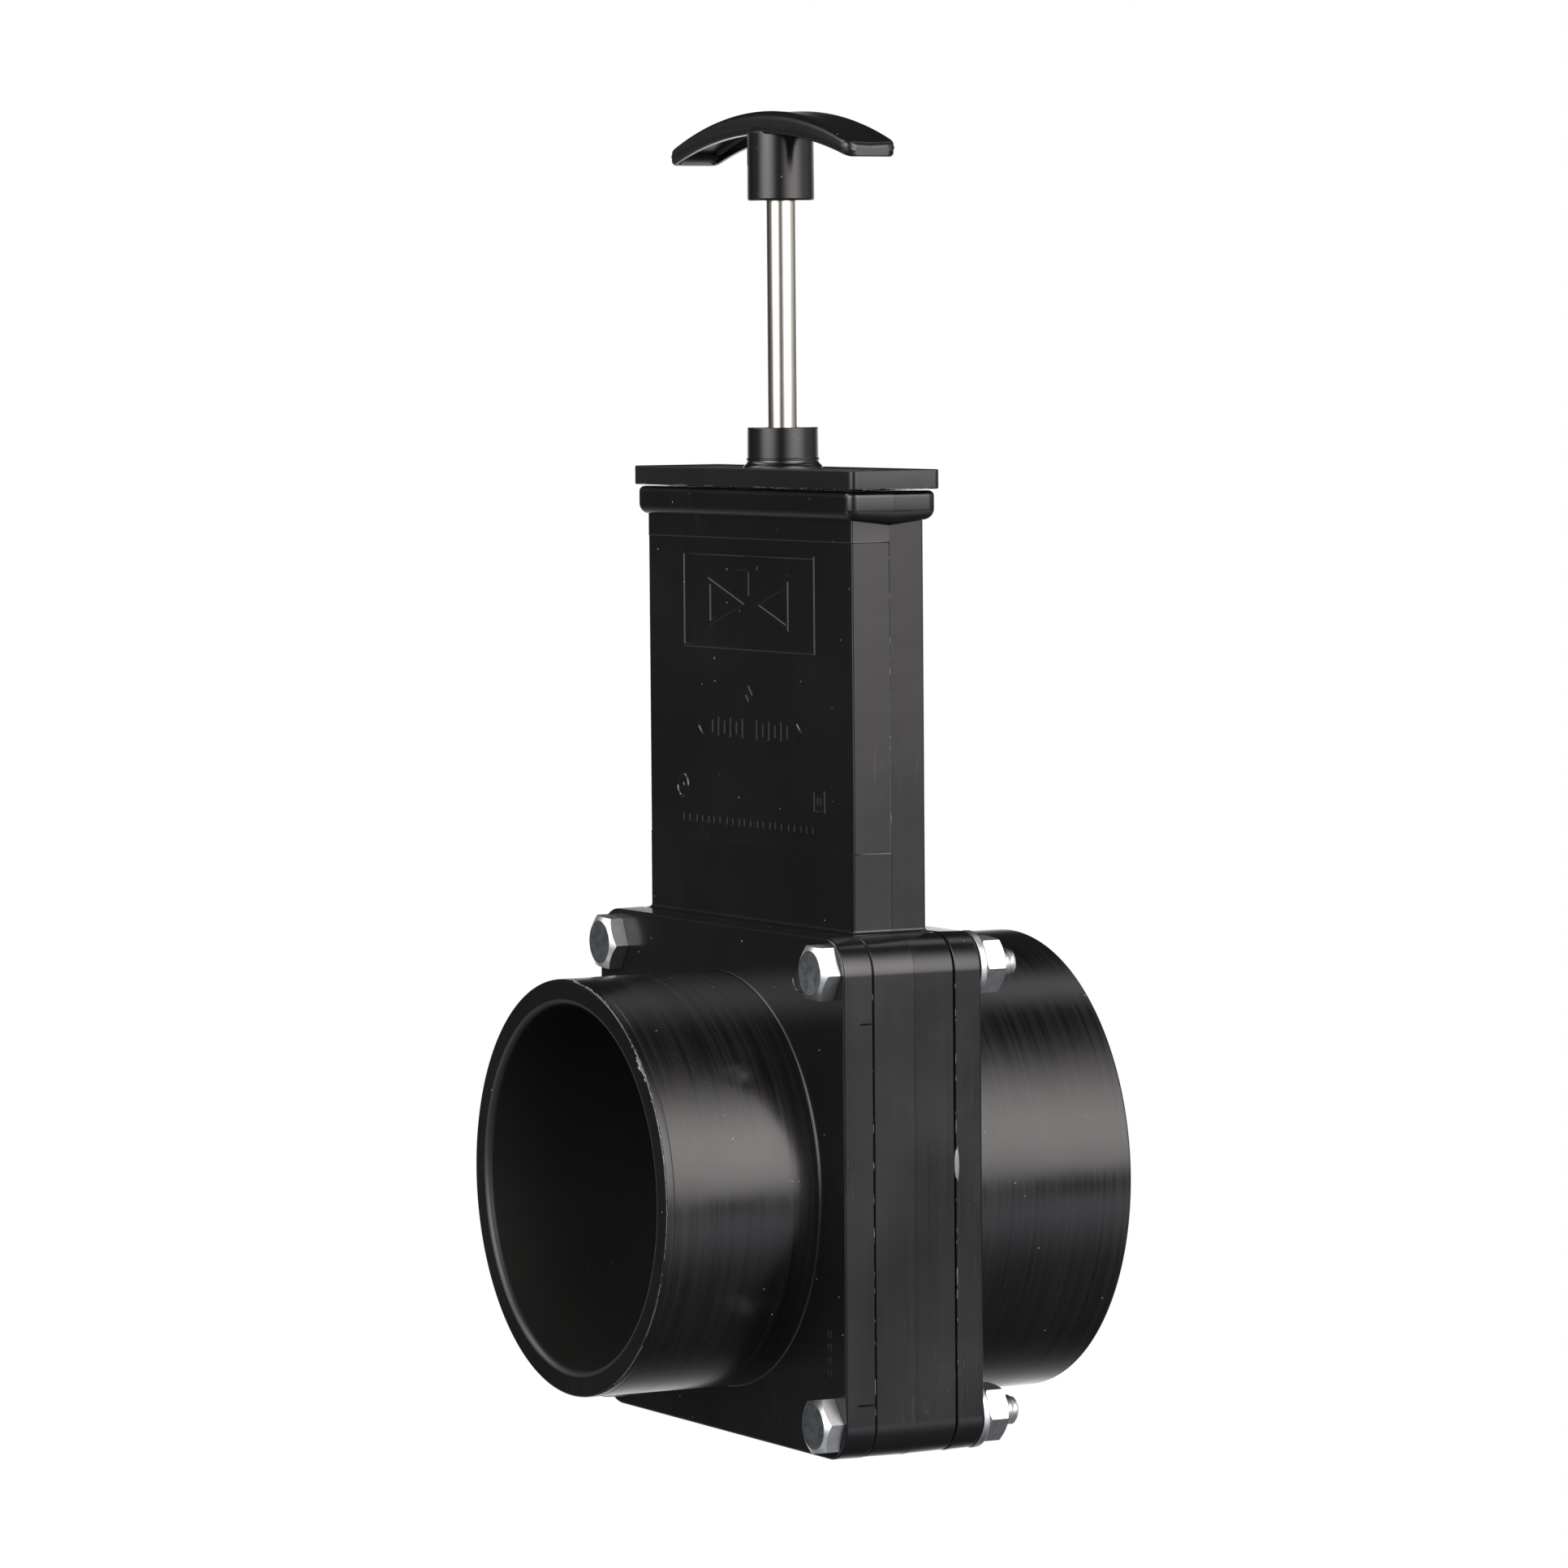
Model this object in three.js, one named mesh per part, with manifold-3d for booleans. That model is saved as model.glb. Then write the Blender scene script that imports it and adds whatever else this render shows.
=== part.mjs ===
// Pull-rod knife gate valve for 3 inch waste pipe: a bolted plastic housing in which a thin
// blade slides up and down across the pipe, drawn by a rod with an arched T-handle.
// Millimetres, +Z up. The origin is the centre of the housing's flat bottom face. The pipe
// axis runs along Y at height AXIS_Z, with the spigot towards -Y and the hub towards +Y.
// The valve is drawn closed, with its blade all the way down.

import * as THREE from 'three';
import { mergeVertices } from 'three/addons/utils/BufferGeometryUtils.js';
import Module from 'manifold-3d';

const wasm = await Module();
wasm.setup();

// ---------------------------------------------------------------- driving dimensions

const INCH = 25.4;
const SEAT_GAP = 0.05;            // left between faces that rest on each other
const FIT_GAP = 0.3;              // left between pieces that slide or nest

// Square body and its two bolted flanges
const SQUARE_HALF = 55;
const SQUARE_CORNER = 8;
const AXIS_Z = SQUARE_HALF;
const BODY_HALF_DEPTH = 9.9;
const SPIGOT_FLANGE = 7.0;
const HUB_FLANGE = 6.5;

// Pipe ends
const SPIGOT_RADIUS = (3.5 * INCH) / 2;
const BORE_RADIUS = 38.9;
const SPIGOT_MOUTH_Y = -53.4;
const HUB_RADIUS = 50;
const HUB_MOUTH_Y = 56.2;
const SOCKET_MOUTH_RADIUS = SPIGOT_RADIUS + 0.4;
const SOCKET_SEAT_RADIUS = SPIGOT_RADIUS - 0.1;
const SOCKET_DEPTH = 1.5 * INCH;
const MOUTH_CHAMFER = 1.2;
const ROOT_FILLET = 2;

// Bolts: quarter inch, on a square
const BOLT_PITCH_HALF = (3.75 * INCH) / 2;
const BOLT_RADIUS = INCH / 8;
const BOLT_LENGTH = 1.75 * INCH;
const BOLT_HOLE_RADIUS = 3.4;
const HEX_ACROSS_FLATS = (7 / 16) * INCH;
const HEAD_HEIGHT = 4.0;
const NUT_HEIGHT = 5.6;
const WASHER_RADIUS = 7.3;
const WASHER_THICKNESS = 1.6;

// Neck that the blade is drawn up into, and the collar at its top
const NECK_HALF_WIDTH = 45.8;
const NECK_FRONT_Y = -8.9;
const NECK_BACK_Y = 8.4;
const COLLAR_HALF_WIDTH = 48.1;
const COLLAR_HALF_DEPTH = 10.7;
const COLLAR_BOTTOM_Z = AXIS_Z + 141.2;
const COLLAR_TOP_Z = AXIS_Z + 147.8;
const COLLAR_CORNER = 2.4;
const CHAMBER_HALF_WIDTH = 43;
const CHAMBER_HALF_DEPTH = 5.8;

// Blade
const BLADE_HALF_WIDTH = CHAMBER_HALF_WIDTH - 0.4;
const BLADE_HALF_THICKNESS = 2.5;
const BLADE_BAR_HALF_DEPTH = CHAMBER_HALF_DEPTH - 0.4;
const BLADE_BAR_BOTTOM_Z = AXIS_Z + 47.6;
const BLADE_BAR_TOP_Z = AXIS_Z + 53;
const BLADE_BLOCK_HALF_WIDTH = 14;
const BLADE_BLOCK_TOP_Z = AXIS_Z + 63.4;

// Seal rings either side of the blade, in a counterbore of the body
const SEAL_POCKET_RADIUS = 46.6;
const SEAL_OUTER_RADIUS = SEAL_POCKET_RADIUS - FIT_GAP;
const SEAL_INNER_RADIUS = BORE_RADIUS + 0.3;
const SEAL_LIP_Y = BLADE_HALF_THICKNESS + FIT_GAP;
const SEAL_LIP_RADIUS = 42;

// Cap with the rod guide
const CAP_HALF_WIDTH = 49;
const CAP_HALF_DEPTH = 10.8;
const CAP_CORNER = 1.2;
const CAP_BOTTOM_Z = AXIS_Z + 148.1;
const CAP_TOP_Z = AXIS_Z + 152.2;
const BOSS_RADIUS = 7.7;
const BOSS_FLARE = 0.7;
const BOSS_TOP_Z = AXIS_Z + 160.8;
const GLAND_RADIUS = 6.3;
const GLAND_TOP_Z = AXIS_Z + 157;
const ORING_SECTION_RADIUS = 1.3;

// Rod and handle
const ROD_RADIUS = INCH / 8;
const ROD_GUIDE_RADIUS = ROD_RADIUS + 0.22;
const ROD_HEAD_RADIUS = 4.3;
const ROD_HEAD_BOTTOM_Z = AXIS_Z + 50.7;
const ROD_HEAD_TOP_Z = AXIS_Z + 53.5;
const ROD_TOP_Z = AXIS_Z + 221;
const ROD_TIP_CHAMFER = 0.5;
const HANDLE_BOTTOM_Z = AXIS_Z + 209.2;
const HANDLE_CREST_Z = AXIS_Z + 228.4;
const HANDLE_UNDERSIDE_Z = AXIS_Z + 223.4;
const HANDLE_HUB_RADIUS = 7.25;
const HANDLE_HALF_LENGTH = 39.8;
const HANDLE_HALF_WIDTH = 6.4;
const HANDLE_TOP_DROP = 7.8;
const HANDLE_UNDERSIDE_DROP = 6;
const HANDLE_CORNER = 2.5;
const HANDLE_WALL = 1.6;

// Facets round a full turn
const LARGE_FACETS = 64;
const SMALL_FACETS = 24;

// ---------------------------------------------------------------- materials

function plastic(color, roughness) {
  return new THREE.MeshStandardMaterial({ color, roughness, metalness: 0 });
}

function metal(color, roughness) {
  return new THREE.MeshStandardMaterial({ color, roughness, metalness: 1 });
}

const blackAbs = () => plastic(0x161617, 0.3);
const bladePlastic = () => plastic(0x1c1d1f, 0.4);
const sealRubber = () => plastic(0x121212, 0.7);
const zincSteel = () => metal(0xc3c8cc, 0.28);
const stainlessSteel = () => metal(0xd0ccc6, 0.2);

// ---------------------------------------------------------------- joining and cutting

// A closed geometry as a solid that can be joined to others and cut.
function solid(geometry) {
  const bare = geometry.clone();
  bare.deleteAttribute('normal');
  bare.deleteAttribute('uv');
  const merged = mergeVertices(bare);
  const mesh = new wasm.Mesh({
    numProp: 3,
    vertProperties: new Float32Array(merged.attributes.position.array),
    triVerts: new Uint32Array(merged.index.array),
  });
  return new wasm.Manifold(mesh);
}

function geometryOf(body) {
  const { vertProperties, triVerts } = body.getMesh();
  const geometry = new THREE.BufferGeometry();
  geometry.setAttribute('position', new THREE.BufferAttribute(vertProperties, 3));
  geometry.setIndex(new THREE.BufferAttribute(triVerts, 1));
  geometry.computeVertexNormals();
  return geometry;
}

// ---------------------------------------------------------------- basic shapes

function roundedRectangle(halfWidth, halfHeight, radius, centreY = 0) {
  const shape = new THREE.Shape();
  const right = halfWidth - radius;
  const top = centreY + halfHeight - radius;
  const bottom = centreY - halfHeight + radius;
  shape.absarc(right, bottom, radius, -Math.PI / 2, 0);
  shape.absarc(right, top, radius, 0, Math.PI / 2);
  shape.absarc(-right, top, radius, Math.PI / 2, Math.PI);
  shape.absarc(-right, bottom, radius, Math.PI, 1.5 * Math.PI);
  return shape;
}

function hexagon(acrossFlats) {
  const shape = new THREE.Shape();
  const cornerRadius = acrossFlats / Math.sqrt(3);
  for (let corner = 0; corner < 6; corner += 1) {
    const angle = (corner * Math.PI) / 3;
    const point = [cornerRadius * Math.cos(angle), cornerRadius * Math.sin(angle)];
    if (corner === 0) shape.moveTo(...point);
    else shape.lineTo(...point);
  }
  return shape;
}

function circle(radius, facets = SMALL_FACETS) {
  const shape = new THREE.Shape();
  for (let step = 0; step < facets; step += 1) {
    const angle = (step * 2 * Math.PI) / facets;
    const point = [radius * Math.cos(angle), radius * Math.sin(angle)];
    if (step === 0) shape.moveTo(...point);
    else shape.lineTo(...point);
  }
  return shape;
}

// A shape drawn in the upright X-Z plane, as a prism from y0 to y1.
function prismAlongY(shape, y0, y1, curveSegments = 6) {
  const options = { depth: y1 - y0, bevelEnabled: false, curveSegments };
  const geometry = new THREE.ExtrudeGeometry(shape, options);
  return geometry.rotateX(Math.PI / 2).translate(0, y1, 0);
}

// A shape drawn in the level X-Y plane, as a prism from z0 to z1.
function prismAlongZ(shape, z0, z1, curveSegments = 4) {
  const options = { depth: z1 - z0, bevelEnabled: false, curveSegments };
  return new THREE.ExtrudeGeometry(shape, options).translate(0, 0, z0);
}

function block(low, high) {
  const size = high.map((value, axis) => value - low[axis]);
  const centre = high.map((value, axis) => (value + low[axis]) / 2);
  return new THREE.BoxGeometry(...size).translate(...centre);
}

// A profile of [radius, y] points turned about the pipe axis. It runs up the outside and
// down the inside, so that the faces point out.
function turnedOnPipe(profile, facets = LARGE_FACETS) {
  const points = profile.map(([radius, y]) => new THREE.Vector2(radius, y));
  return new THREE.LatheGeometry(points, facets).translate(0, 0, AXIS_Z);
}

// A profile of [radius, z] points turned about the upright rod axis.
function turnedOnRod(profile, facets = SMALL_FACETS) {
  const points = profile.map(([radius, z]) => new THREE.Vector2(radius, z));
  return new THREE.LatheGeometry(points, facets).rotateX(Math.PI / 2);
}

function closed(profile) {
  return [...profile, profile[0]];
}

const BOLT_CENTRES = [
  [-BOLT_PITCH_HALF, AXIS_Z + BOLT_PITCH_HALF],
  [BOLT_PITCH_HALF, AXIS_Z + BOLT_PITCH_HALF],
  [-BOLT_PITCH_HALF, AXIS_Z - BOLT_PITCH_HALF],
  [BOLT_PITCH_HALF, AXIS_Z - BOLT_PITCH_HALF],
];

// Cuts the four bolt holes through a body between y0 and y1.
function withBoltHoles(body, y0, y1) {
  let drilled = body;
  for (const [x, z] of BOLT_CENTRES) {
    const hole = prismAlongY(circle(BOLT_HOLE_RADIUS), y0 - 1, y1 + 1);
    drilled = drilled.subtract(solid(hole.translate(x, 0, z)));
  }
  return drilled;
}

function squarePlate(y0, y1) {
  return prismAlongY(roundedRectangle(SQUARE_HALF, SQUARE_HALF, SQUARE_CORNER, AXIS_Z), y0, y1);
}

// ---------------------------------------------------------------- housing

const BODY_FACE_Y = BODY_HALF_DEPTH;
const SPIGOT_FLANGE_FRONT_Y = -BODY_FACE_Y - SPIGOT_FLANGE;
const HUB_FLANGE_BACK_Y = BODY_FACE_Y + HUB_FLANGE;

// Centre body: square frame, neck and collar in one moulding. A pocket on each side takes a
// seal ring, and a thin rib between the pockets carries the blade's round lower edge.
function valveBody() {
  const face = BODY_FACE_Y - SEAT_GAP;
  const neckLow = [-NECK_HALF_WIDTH, NECK_FRONT_Y, AXIS_Z + SEAL_POCKET_RADIUS];
  const neckHigh = [NECK_HALF_WIDTH, NECK_BACK_Y, COLLAR_TOP_Z - 1];
  const collarPlan = roundedRectangle(COLLAR_HALF_WIDTH, COLLAR_HALF_DEPTH, COLLAR_CORNER);
  const chamberLow = [-CHAMBER_HALF_WIDTH, -CHAMBER_HALF_DEPTH, AXIS_Z];
  const chamberHigh = [CHAMBER_HALF_WIDTH, CHAMBER_HALF_DEPTH, COLLAR_TOP_Z + 1];
  const seat = [[0, -face - 1], [CHAMBER_HALF_WIDTH, -face - 1], [CHAMBER_HALF_WIDTH, face + 1],
    [0, face + 1]];

  let body = solid(squarePlate(-face, face));
  body = body.add(solid(block(neckLow, neckHigh)));
  body = body.add(solid(prismAlongZ(collarPlan, COLLAR_BOTTOM_Z, COLLAR_TOP_Z)));
  body = body.subtract(solid(block(chamberLow, chamberHigh)));
  body = body.subtract(solid(turnedOnPipe(seat)));
  for (const [y0, y1] of [[-face - 1, -SEAL_LIP_Y], [SEAL_LIP_Y, face + 1]]) {
    const pocket = [[0, y0], [SEAL_POCKET_RADIUS, y0], [SEAL_POCKET_RADIUS, y1], [0, y1]];
    body = body.subtract(solid(turnedOnPipe(pocket)));
  }
  return withBoltHoles(body, -face, face);
}

// Front fitting: a square flange with a plain pipe stub that fits inside a hose or coupling.
function spigotFitting() {
  const back = -BODY_FACE_Y;
  const front = SPIGOT_FLANGE_FRONT_Y;
  const tube = closed([
    [BORE_RADIUS, back],
    [BORE_RADIUS, SPIGOT_MOUTH_Y + MOUTH_CHAMFER],
    [BORE_RADIUS + MOUTH_CHAMFER, SPIGOT_MOUTH_Y],
    [SPIGOT_RADIUS, SPIGOT_MOUTH_Y],
    [SPIGOT_RADIUS, front - ROOT_FILLET],
    [SPIGOT_RADIUS + ROOT_FILLET, front + 1],
    [SPIGOT_RADIUS + ROOT_FILLET, back],
  ]);
  const bore = [[0, front - 1], [BORE_RADIUS, front - 1], [BORE_RADIUS, back + 1], [0, back + 1]];
  const plate = solid(squarePlate(front, back)).subtract(solid(turnedOnPipe(bore)));
  return withBoltHoles(plate.add(solid(turnedOnPipe(tube))), front, back);
}

// Back fitting: a square flange with a socket that the pipe is glued into, up to a stop.
function hubFitting() {
  const front = BODY_FACE_Y;
  const back = HUB_FLANGE_BACK_Y;
  const stop = HUB_MOUTH_Y - SOCKET_DEPTH;
  const tube = closed([
    [BORE_RADIUS, front],
    [HUB_RADIUS, front],
    [HUB_RADIUS, HUB_MOUTH_Y],
    [SOCKET_MOUTH_RADIUS + MOUTH_CHAMFER, HUB_MOUTH_Y],
    [SOCKET_MOUTH_RADIUS, HUB_MOUTH_Y - MOUTH_CHAMFER],
    [SOCKET_SEAT_RADIUS, stop],
    [BORE_RADIUS, stop],
  ]);
  const bore = [[0, front - 1], [BORE_RADIUS, front - 1], [BORE_RADIUS, back + 1], [0, back + 1]];
  const plate = solid(squarePlate(front, back)).subtract(solid(turnedOnPipe(bore)));
  return withBoltHoles(plate.add(solid(turnedOnPipe(tube))), front, back);
}

// Rubber ring between the blade and one flange, with a raised lip that wipes the blade.
function sealRing(side) {
  const outer = BODY_FACE_Y - 2 * SEAT_GAP;
  const shoulder = SEAL_LIP_Y + 1;
  const profile = closed([
    [SEAL_INNER_RADIUS, SEAL_LIP_Y + SEAT_GAP],
    [SEAL_LIP_RADIUS, SEAL_LIP_Y + SEAT_GAP],
    [SEAL_LIP_RADIUS + 1, shoulder],
    [SEAL_OUTER_RADIUS, shoulder],
    [SEAL_OUTER_RADIUS, outer],
    [SEAL_INNER_RADIUS, outer],
  ]);
  const ring = turnedOnPipe(profile);
  return solid(side > 0 ? ring : ring.rotateZ(Math.PI));
}

// ---------------------------------------------------------------- bolts

function hexBolt() {
  const seat = SPIGOT_FLANGE_FRONT_Y - SEAT_GAP;
  const head = prismAlongY(hexagon(HEX_ACROSS_FLATS), seat - HEAD_HEIGHT, seat);
  const shank = prismAlongY(circle(BOLT_RADIUS), seat - 1, seat + BOLT_LENGTH);
  return solid(head).add(solid(shank));
}

function flatWasher() {
  const y0 = HUB_FLANGE_BACK_Y + SEAT_GAP;
  const shape = circle(WASHER_RADIUS);
  shape.holes.push(circle(BOLT_HOLE_RADIUS));
  return solid(prismAlongY(shape, y0, y0 + WASHER_THICKNESS));
}

function hexNut() {
  const y0 = HUB_FLANGE_BACK_Y + WASHER_THICKNESS + 2 * SEAT_GAP;
  const shape = hexagon(HEX_ACROSS_FLATS);
  shape.holes.push(circle(BOLT_HOLE_RADIUS));
  return solid(prismAlongY(shape, y0, y0 + NUT_HEIGHT));
}

// ---------------------------------------------------------------- cap and rod seal

function bonnetCap() {
  const plan = roundedRectangle(CAP_HALF_WIDTH, CAP_HALF_DEPTH, CAP_CORNER);
  const boss = [
    [0, CAP_BOTTOM_Z + 1],
    [BOSS_RADIUS + BOSS_FLARE, CAP_BOTTOM_Z + 1],
    [BOSS_RADIUS + BOSS_FLARE, CAP_TOP_Z],
    [BOSS_RADIUS, CAP_TOP_Z + 1.2],
    [BOSS_RADIUS, BOSS_TOP_Z],
    [0, BOSS_TOP_Z],
  ];
  const guide = [
    [0, CAP_BOTTOM_Z - 1],
    [GLAND_RADIUS, CAP_BOTTOM_Z - 1],
    [GLAND_RADIUS, GLAND_TOP_Z],
    [ROD_GUIDE_RADIUS, GLAND_TOP_Z],
    [ROD_GUIDE_RADIUS, BOSS_TOP_Z + 1],
    [0, BOSS_TOP_Z + 1],
  ];
  const plate = solid(prismAlongZ(plan, CAP_BOTTOM_Z, CAP_TOP_Z));
  return plate.add(solid(turnedOnRod(boss))).subtract(solid(turnedOnRod(guide)));
}

const ORING_CENTRE_Z = GLAND_TOP_Z - ORING_SECTION_RADIUS - SEAT_GAP;

function rodOring() {
  const ringRadius = ROD_RADIUS + 0.25 + ORING_SECTION_RADIUS;
  const ring = new THREE.TorusGeometry(ringRadius, ORING_SECTION_RADIUS, 8, SMALL_FACETS);
  return solid(ring.translate(0, 0, ORING_CENTRE_Z));
}

// Plastic bush pressed into the cap from below. It holds the O-ring up and guides the rod.
function oringBush() {
  const top = ORING_CENTRE_Z - ORING_SECTION_RADIUS - SEAT_GAP;
  const outer = GLAND_RADIUS - 2 * SEAT_GAP;
  return solid(turnedOnRod(closed([
    [ROD_GUIDE_RADIUS, CAP_BOTTOM_Z],
    [outer, CAP_BOTTOM_Z],
    [outer, top],
    [ROD_GUIDE_RADIUS, top],
  ])));
}

// ---------------------------------------------------------------- blade, rod and handle

// A slot cut in from the front face, with a round back centred on the rod.
function frontSlot(radius, z0, z1) {
  const straight = block([-radius, -BLADE_BAR_HALF_DEPTH - 1, z0], [radius, 0, z1]);
  const round = prismAlongZ(circle(radius), z0, z1);
  return solid(straight).add(solid(round));
}

// Blade: a plate with a half-round lower edge, a thick bar across its top that runs in the
// neck, and a block with a T-slot that the rod's head hooks into from the front.
function gateBlade() {
  const outline = new THREE.Shape();
  outline.absarc(0, AXIS_Z, BLADE_HALF_WIDTH, Math.PI, 2 * Math.PI);
  outline.lineTo(BLADE_HALF_WIDTH, BLADE_BAR_TOP_Z - 1);
  outline.lineTo(-BLADE_HALF_WIDTH, BLADE_BAR_TOP_Z - 1);
  const plate = prismAlongY(outline, -BLADE_HALF_THICKNESS, BLADE_HALF_THICKNESS, LARGE_FACETS / 2);
  const depth = BLADE_BAR_HALF_DEPTH;
  const bar = block([-BLADE_HALF_WIDTH, -depth, BLADE_BAR_BOTTOM_Z],
    [BLADE_HALF_WIDTH, depth, BLADE_BAR_TOP_Z]);
  const boss = block([-BLADE_BLOCK_HALF_WIDTH, -depth, BLADE_BAR_BOTTOM_Z],
    [BLADE_BLOCK_HALF_WIDTH, depth, BLADE_BLOCK_TOP_Z]);
  const headSlot = frontSlot(ROD_HEAD_RADIUS + 0.2, ROD_HEAD_BOTTOM_Z - FIT_GAP,
    ROD_HEAD_TOP_Z + FIT_GAP);
  const rodSlot = frontSlot(ROD_GUIDE_RADIUS, ROD_HEAD_TOP_Z, BLADE_BLOCK_TOP_Z + 1);
  return solid(plate).add(solid(bar)).add(solid(boss)).subtract(headSlot).subtract(rodSlot);
}

// Rod: plain round bar with an upset head at its foot.
function pullRod() {
  return solid(turnedOnRod([
    [0, ROD_HEAD_BOTTOM_Z],
    [ROD_HEAD_RADIUS, ROD_HEAD_BOTTOM_Z],
    [ROD_HEAD_RADIUS, ROD_HEAD_TOP_Z],
    [ROD_RADIUS, ROD_HEAD_TOP_Z],
    [ROD_RADIUS, ROD_TOP_Z - ROD_TIP_CHAMFER],
    [ROD_RADIUS - ROD_TIP_CHAMFER, ROD_TOP_Z],
    [0, ROD_TOP_Z],
  ]));
}

// Radius of the arc that falls by drop over the handle's half length.
function arcRadius(drop) {
  return (HANDLE_HALF_LENGTH ** 2 + drop ** 2) / (2 * drop);
}

// Hollow in the underside of the handle's wings, which leaves an even wall all round.
function handleRecess() {
  const radius = arcRadius(HANDLE_TOP_DROP);
  const halfAngle = Math.asin(HANDLE_HALF_LENGTH / radius);
  const side = new THREE.Shape();
  side.absarc(0, HANDLE_CREST_Z - HANDLE_WALL - radius, radius,
    Math.PI / 2 - halfAngle, Math.PI / 2 + halfAngle);
  side.lineTo(-HANDLE_HALF_LENGTH, HANDLE_BOTTOM_Z);
  side.lineTo(HANDLE_HALF_LENGTH, HANDLE_BOTTOM_Z);
  const underCeiling = prismAlongY(side, -HANDLE_HALF_WIDTH, HANDLE_HALF_WIDTH, 14);
  const plan = roundedRectangle(HANDLE_HALF_LENGTH - HANDLE_WALL,
    HANDLE_HALF_WIDTH - HANDLE_WALL, HANDLE_CORNER - HANDLE_WALL);
  const insideWalls = prismAlongZ(plan, HANDLE_BOTTOM_Z - 1, HANDLE_CREST_Z);
  return solid(underCeiling).intersect(solid(insideWalls));
}

// Handle: an arched bar with drooping wings on a round hub, bored for the rod.
function pullHandle() {
  const topRadius = arcRadius(HANDLE_TOP_DROP);
  const underRadius = arcRadius(HANDLE_UNDERSIDE_DROP);
  const topHalfAngle = Math.asin(HANDLE_HALF_LENGTH / topRadius);
  const underHalfAngle = Math.asin(HANDLE_HALF_LENGTH / underRadius);
  const side = new THREE.Shape();
  side.absarc(0, HANDLE_CREST_Z - topRadius, topRadius,
    Math.PI / 2 - topHalfAngle, Math.PI / 2 + topHalfAngle);
  side.absarc(0, HANDLE_UNDERSIDE_Z - underRadius, underRadius,
    Math.PI / 2 + underHalfAngle, Math.PI / 2 - underHalfAngle, true);
  const bar = prismAlongY(side, -HANDLE_HALF_WIDTH, HANDLE_HALF_WIDTH, 14);
  const plan = roundedRectangle(HANDLE_HALF_LENGTH, HANDLE_HALF_WIDTH, HANDLE_CORNER);
  const envelope = prismAlongZ(plan, HANDLE_BOTTOM_Z, HANDLE_CREST_Z + 1);
  const hubTop = HANDLE_CREST_Z - HANDLE_WALL;
  const hub = [
    [0, HANDLE_BOTTOM_Z],
    [HANDLE_HUB_RADIUS, HANDLE_BOTTOM_Z],
    [HANDLE_HUB_RADIUS, HANDLE_UNDERSIDE_Z + 0.5],
    [HANDLE_HALF_WIDTH - 0.5, HANDLE_UNDERSIDE_Z + 0.5],
    [HANDLE_HALF_WIDTH - 0.5, hubTop],
    [0, hubTop],
  ];
  const bore = [
    [0, HANDLE_BOTTOM_Z - 1],
    [ROD_GUIDE_RADIUS, HANDLE_BOTTOM_Z - 1],
    [ROD_GUIDE_RADIUS, ROD_TOP_Z + FIT_GAP],
    [0, ROD_TOP_Z + FIT_GAP],
  ];
  const wings = solid(bar).intersect(solid(envelope)).subtract(handleRecess());
  return wings.add(solid(turnedOnRod(hub))).subtract(solid(turnedOnRod(bore)));
}

// ---------------------------------------------------------------- assembly

const valve = new THREE.Group();

function addPiece(name, body, material, x = 0, z = 0) {
  const piece = new THREE.Mesh(geometryOf(body), material);
  piece.name = name;
  piece.position.set(x, 0, z);
  valve.add(piece);
}

addPiece('valve_body', valveBody(), blackAbs());
addPiece('spigot_fitting', spigotFitting(), blackAbs());
addPiece('hub_fitting', hubFitting(), blackAbs());
addPiece('front_seal', sealRing(-1), sealRubber());
addPiece('rear_seal', sealRing(1), sealRubber());
addPiece('bonnet_cap', bonnetCap(), blackAbs());
addPiece('rod_oring', rodOring(), sealRubber());
addPiece('oring_bush', oringBush(), bladePlastic());
addPiece('gate_blade', gateBlade(), bladePlastic());
addPiece('pull_rod', pullRod(), stainlessSteel());
addPiece('pull_handle', pullHandle(), blackAbs());

BOLT_CENTRES.forEach(([x, z], index) => {
  addPiece(`hex_bolt_${index + 1}`, hexBolt(), zincSteel(), x, z);
  addPiece(`flat_washer_${index + 1}`, flatWasher(), zincSteel(), x, z);
  addPiece(`hex_nut_${index + 1}`, hexNut(), zincSteel(), x, z);
});

export default valve;
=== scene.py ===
"""Looks of the pull-rod knife gate valve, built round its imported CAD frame.

Lengths below are in millimetres and turned into metres when a mesh is made. The pipe axis
runs along Y, the neck and the rod stand up along Z, and the origin is the centre of the
housing's flat bottom face.
"""
import math

import bmesh
import bpy
from mathutils import Matrix, Vector, noise


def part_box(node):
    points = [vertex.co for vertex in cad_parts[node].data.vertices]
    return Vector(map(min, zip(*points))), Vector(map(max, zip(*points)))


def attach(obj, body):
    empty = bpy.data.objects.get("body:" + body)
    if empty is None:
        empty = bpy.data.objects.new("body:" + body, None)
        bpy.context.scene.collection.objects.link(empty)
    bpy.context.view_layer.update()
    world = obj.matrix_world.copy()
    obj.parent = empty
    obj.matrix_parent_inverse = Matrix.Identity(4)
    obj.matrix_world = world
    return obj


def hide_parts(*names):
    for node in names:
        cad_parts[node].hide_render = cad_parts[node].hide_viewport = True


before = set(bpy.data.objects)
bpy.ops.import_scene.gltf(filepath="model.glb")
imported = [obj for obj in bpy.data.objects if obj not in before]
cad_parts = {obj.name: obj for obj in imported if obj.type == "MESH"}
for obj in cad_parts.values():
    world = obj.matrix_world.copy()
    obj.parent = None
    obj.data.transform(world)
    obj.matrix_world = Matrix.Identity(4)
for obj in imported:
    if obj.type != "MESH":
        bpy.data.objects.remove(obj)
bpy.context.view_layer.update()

MM = 0.001
INCH = 25.4


def box_mm(node):
    """Lowest and highest corner of a CAD node, in millimetres."""
    low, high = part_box(node)
    return low / MM, high / MM


# ------ sizes from the frame

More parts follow.
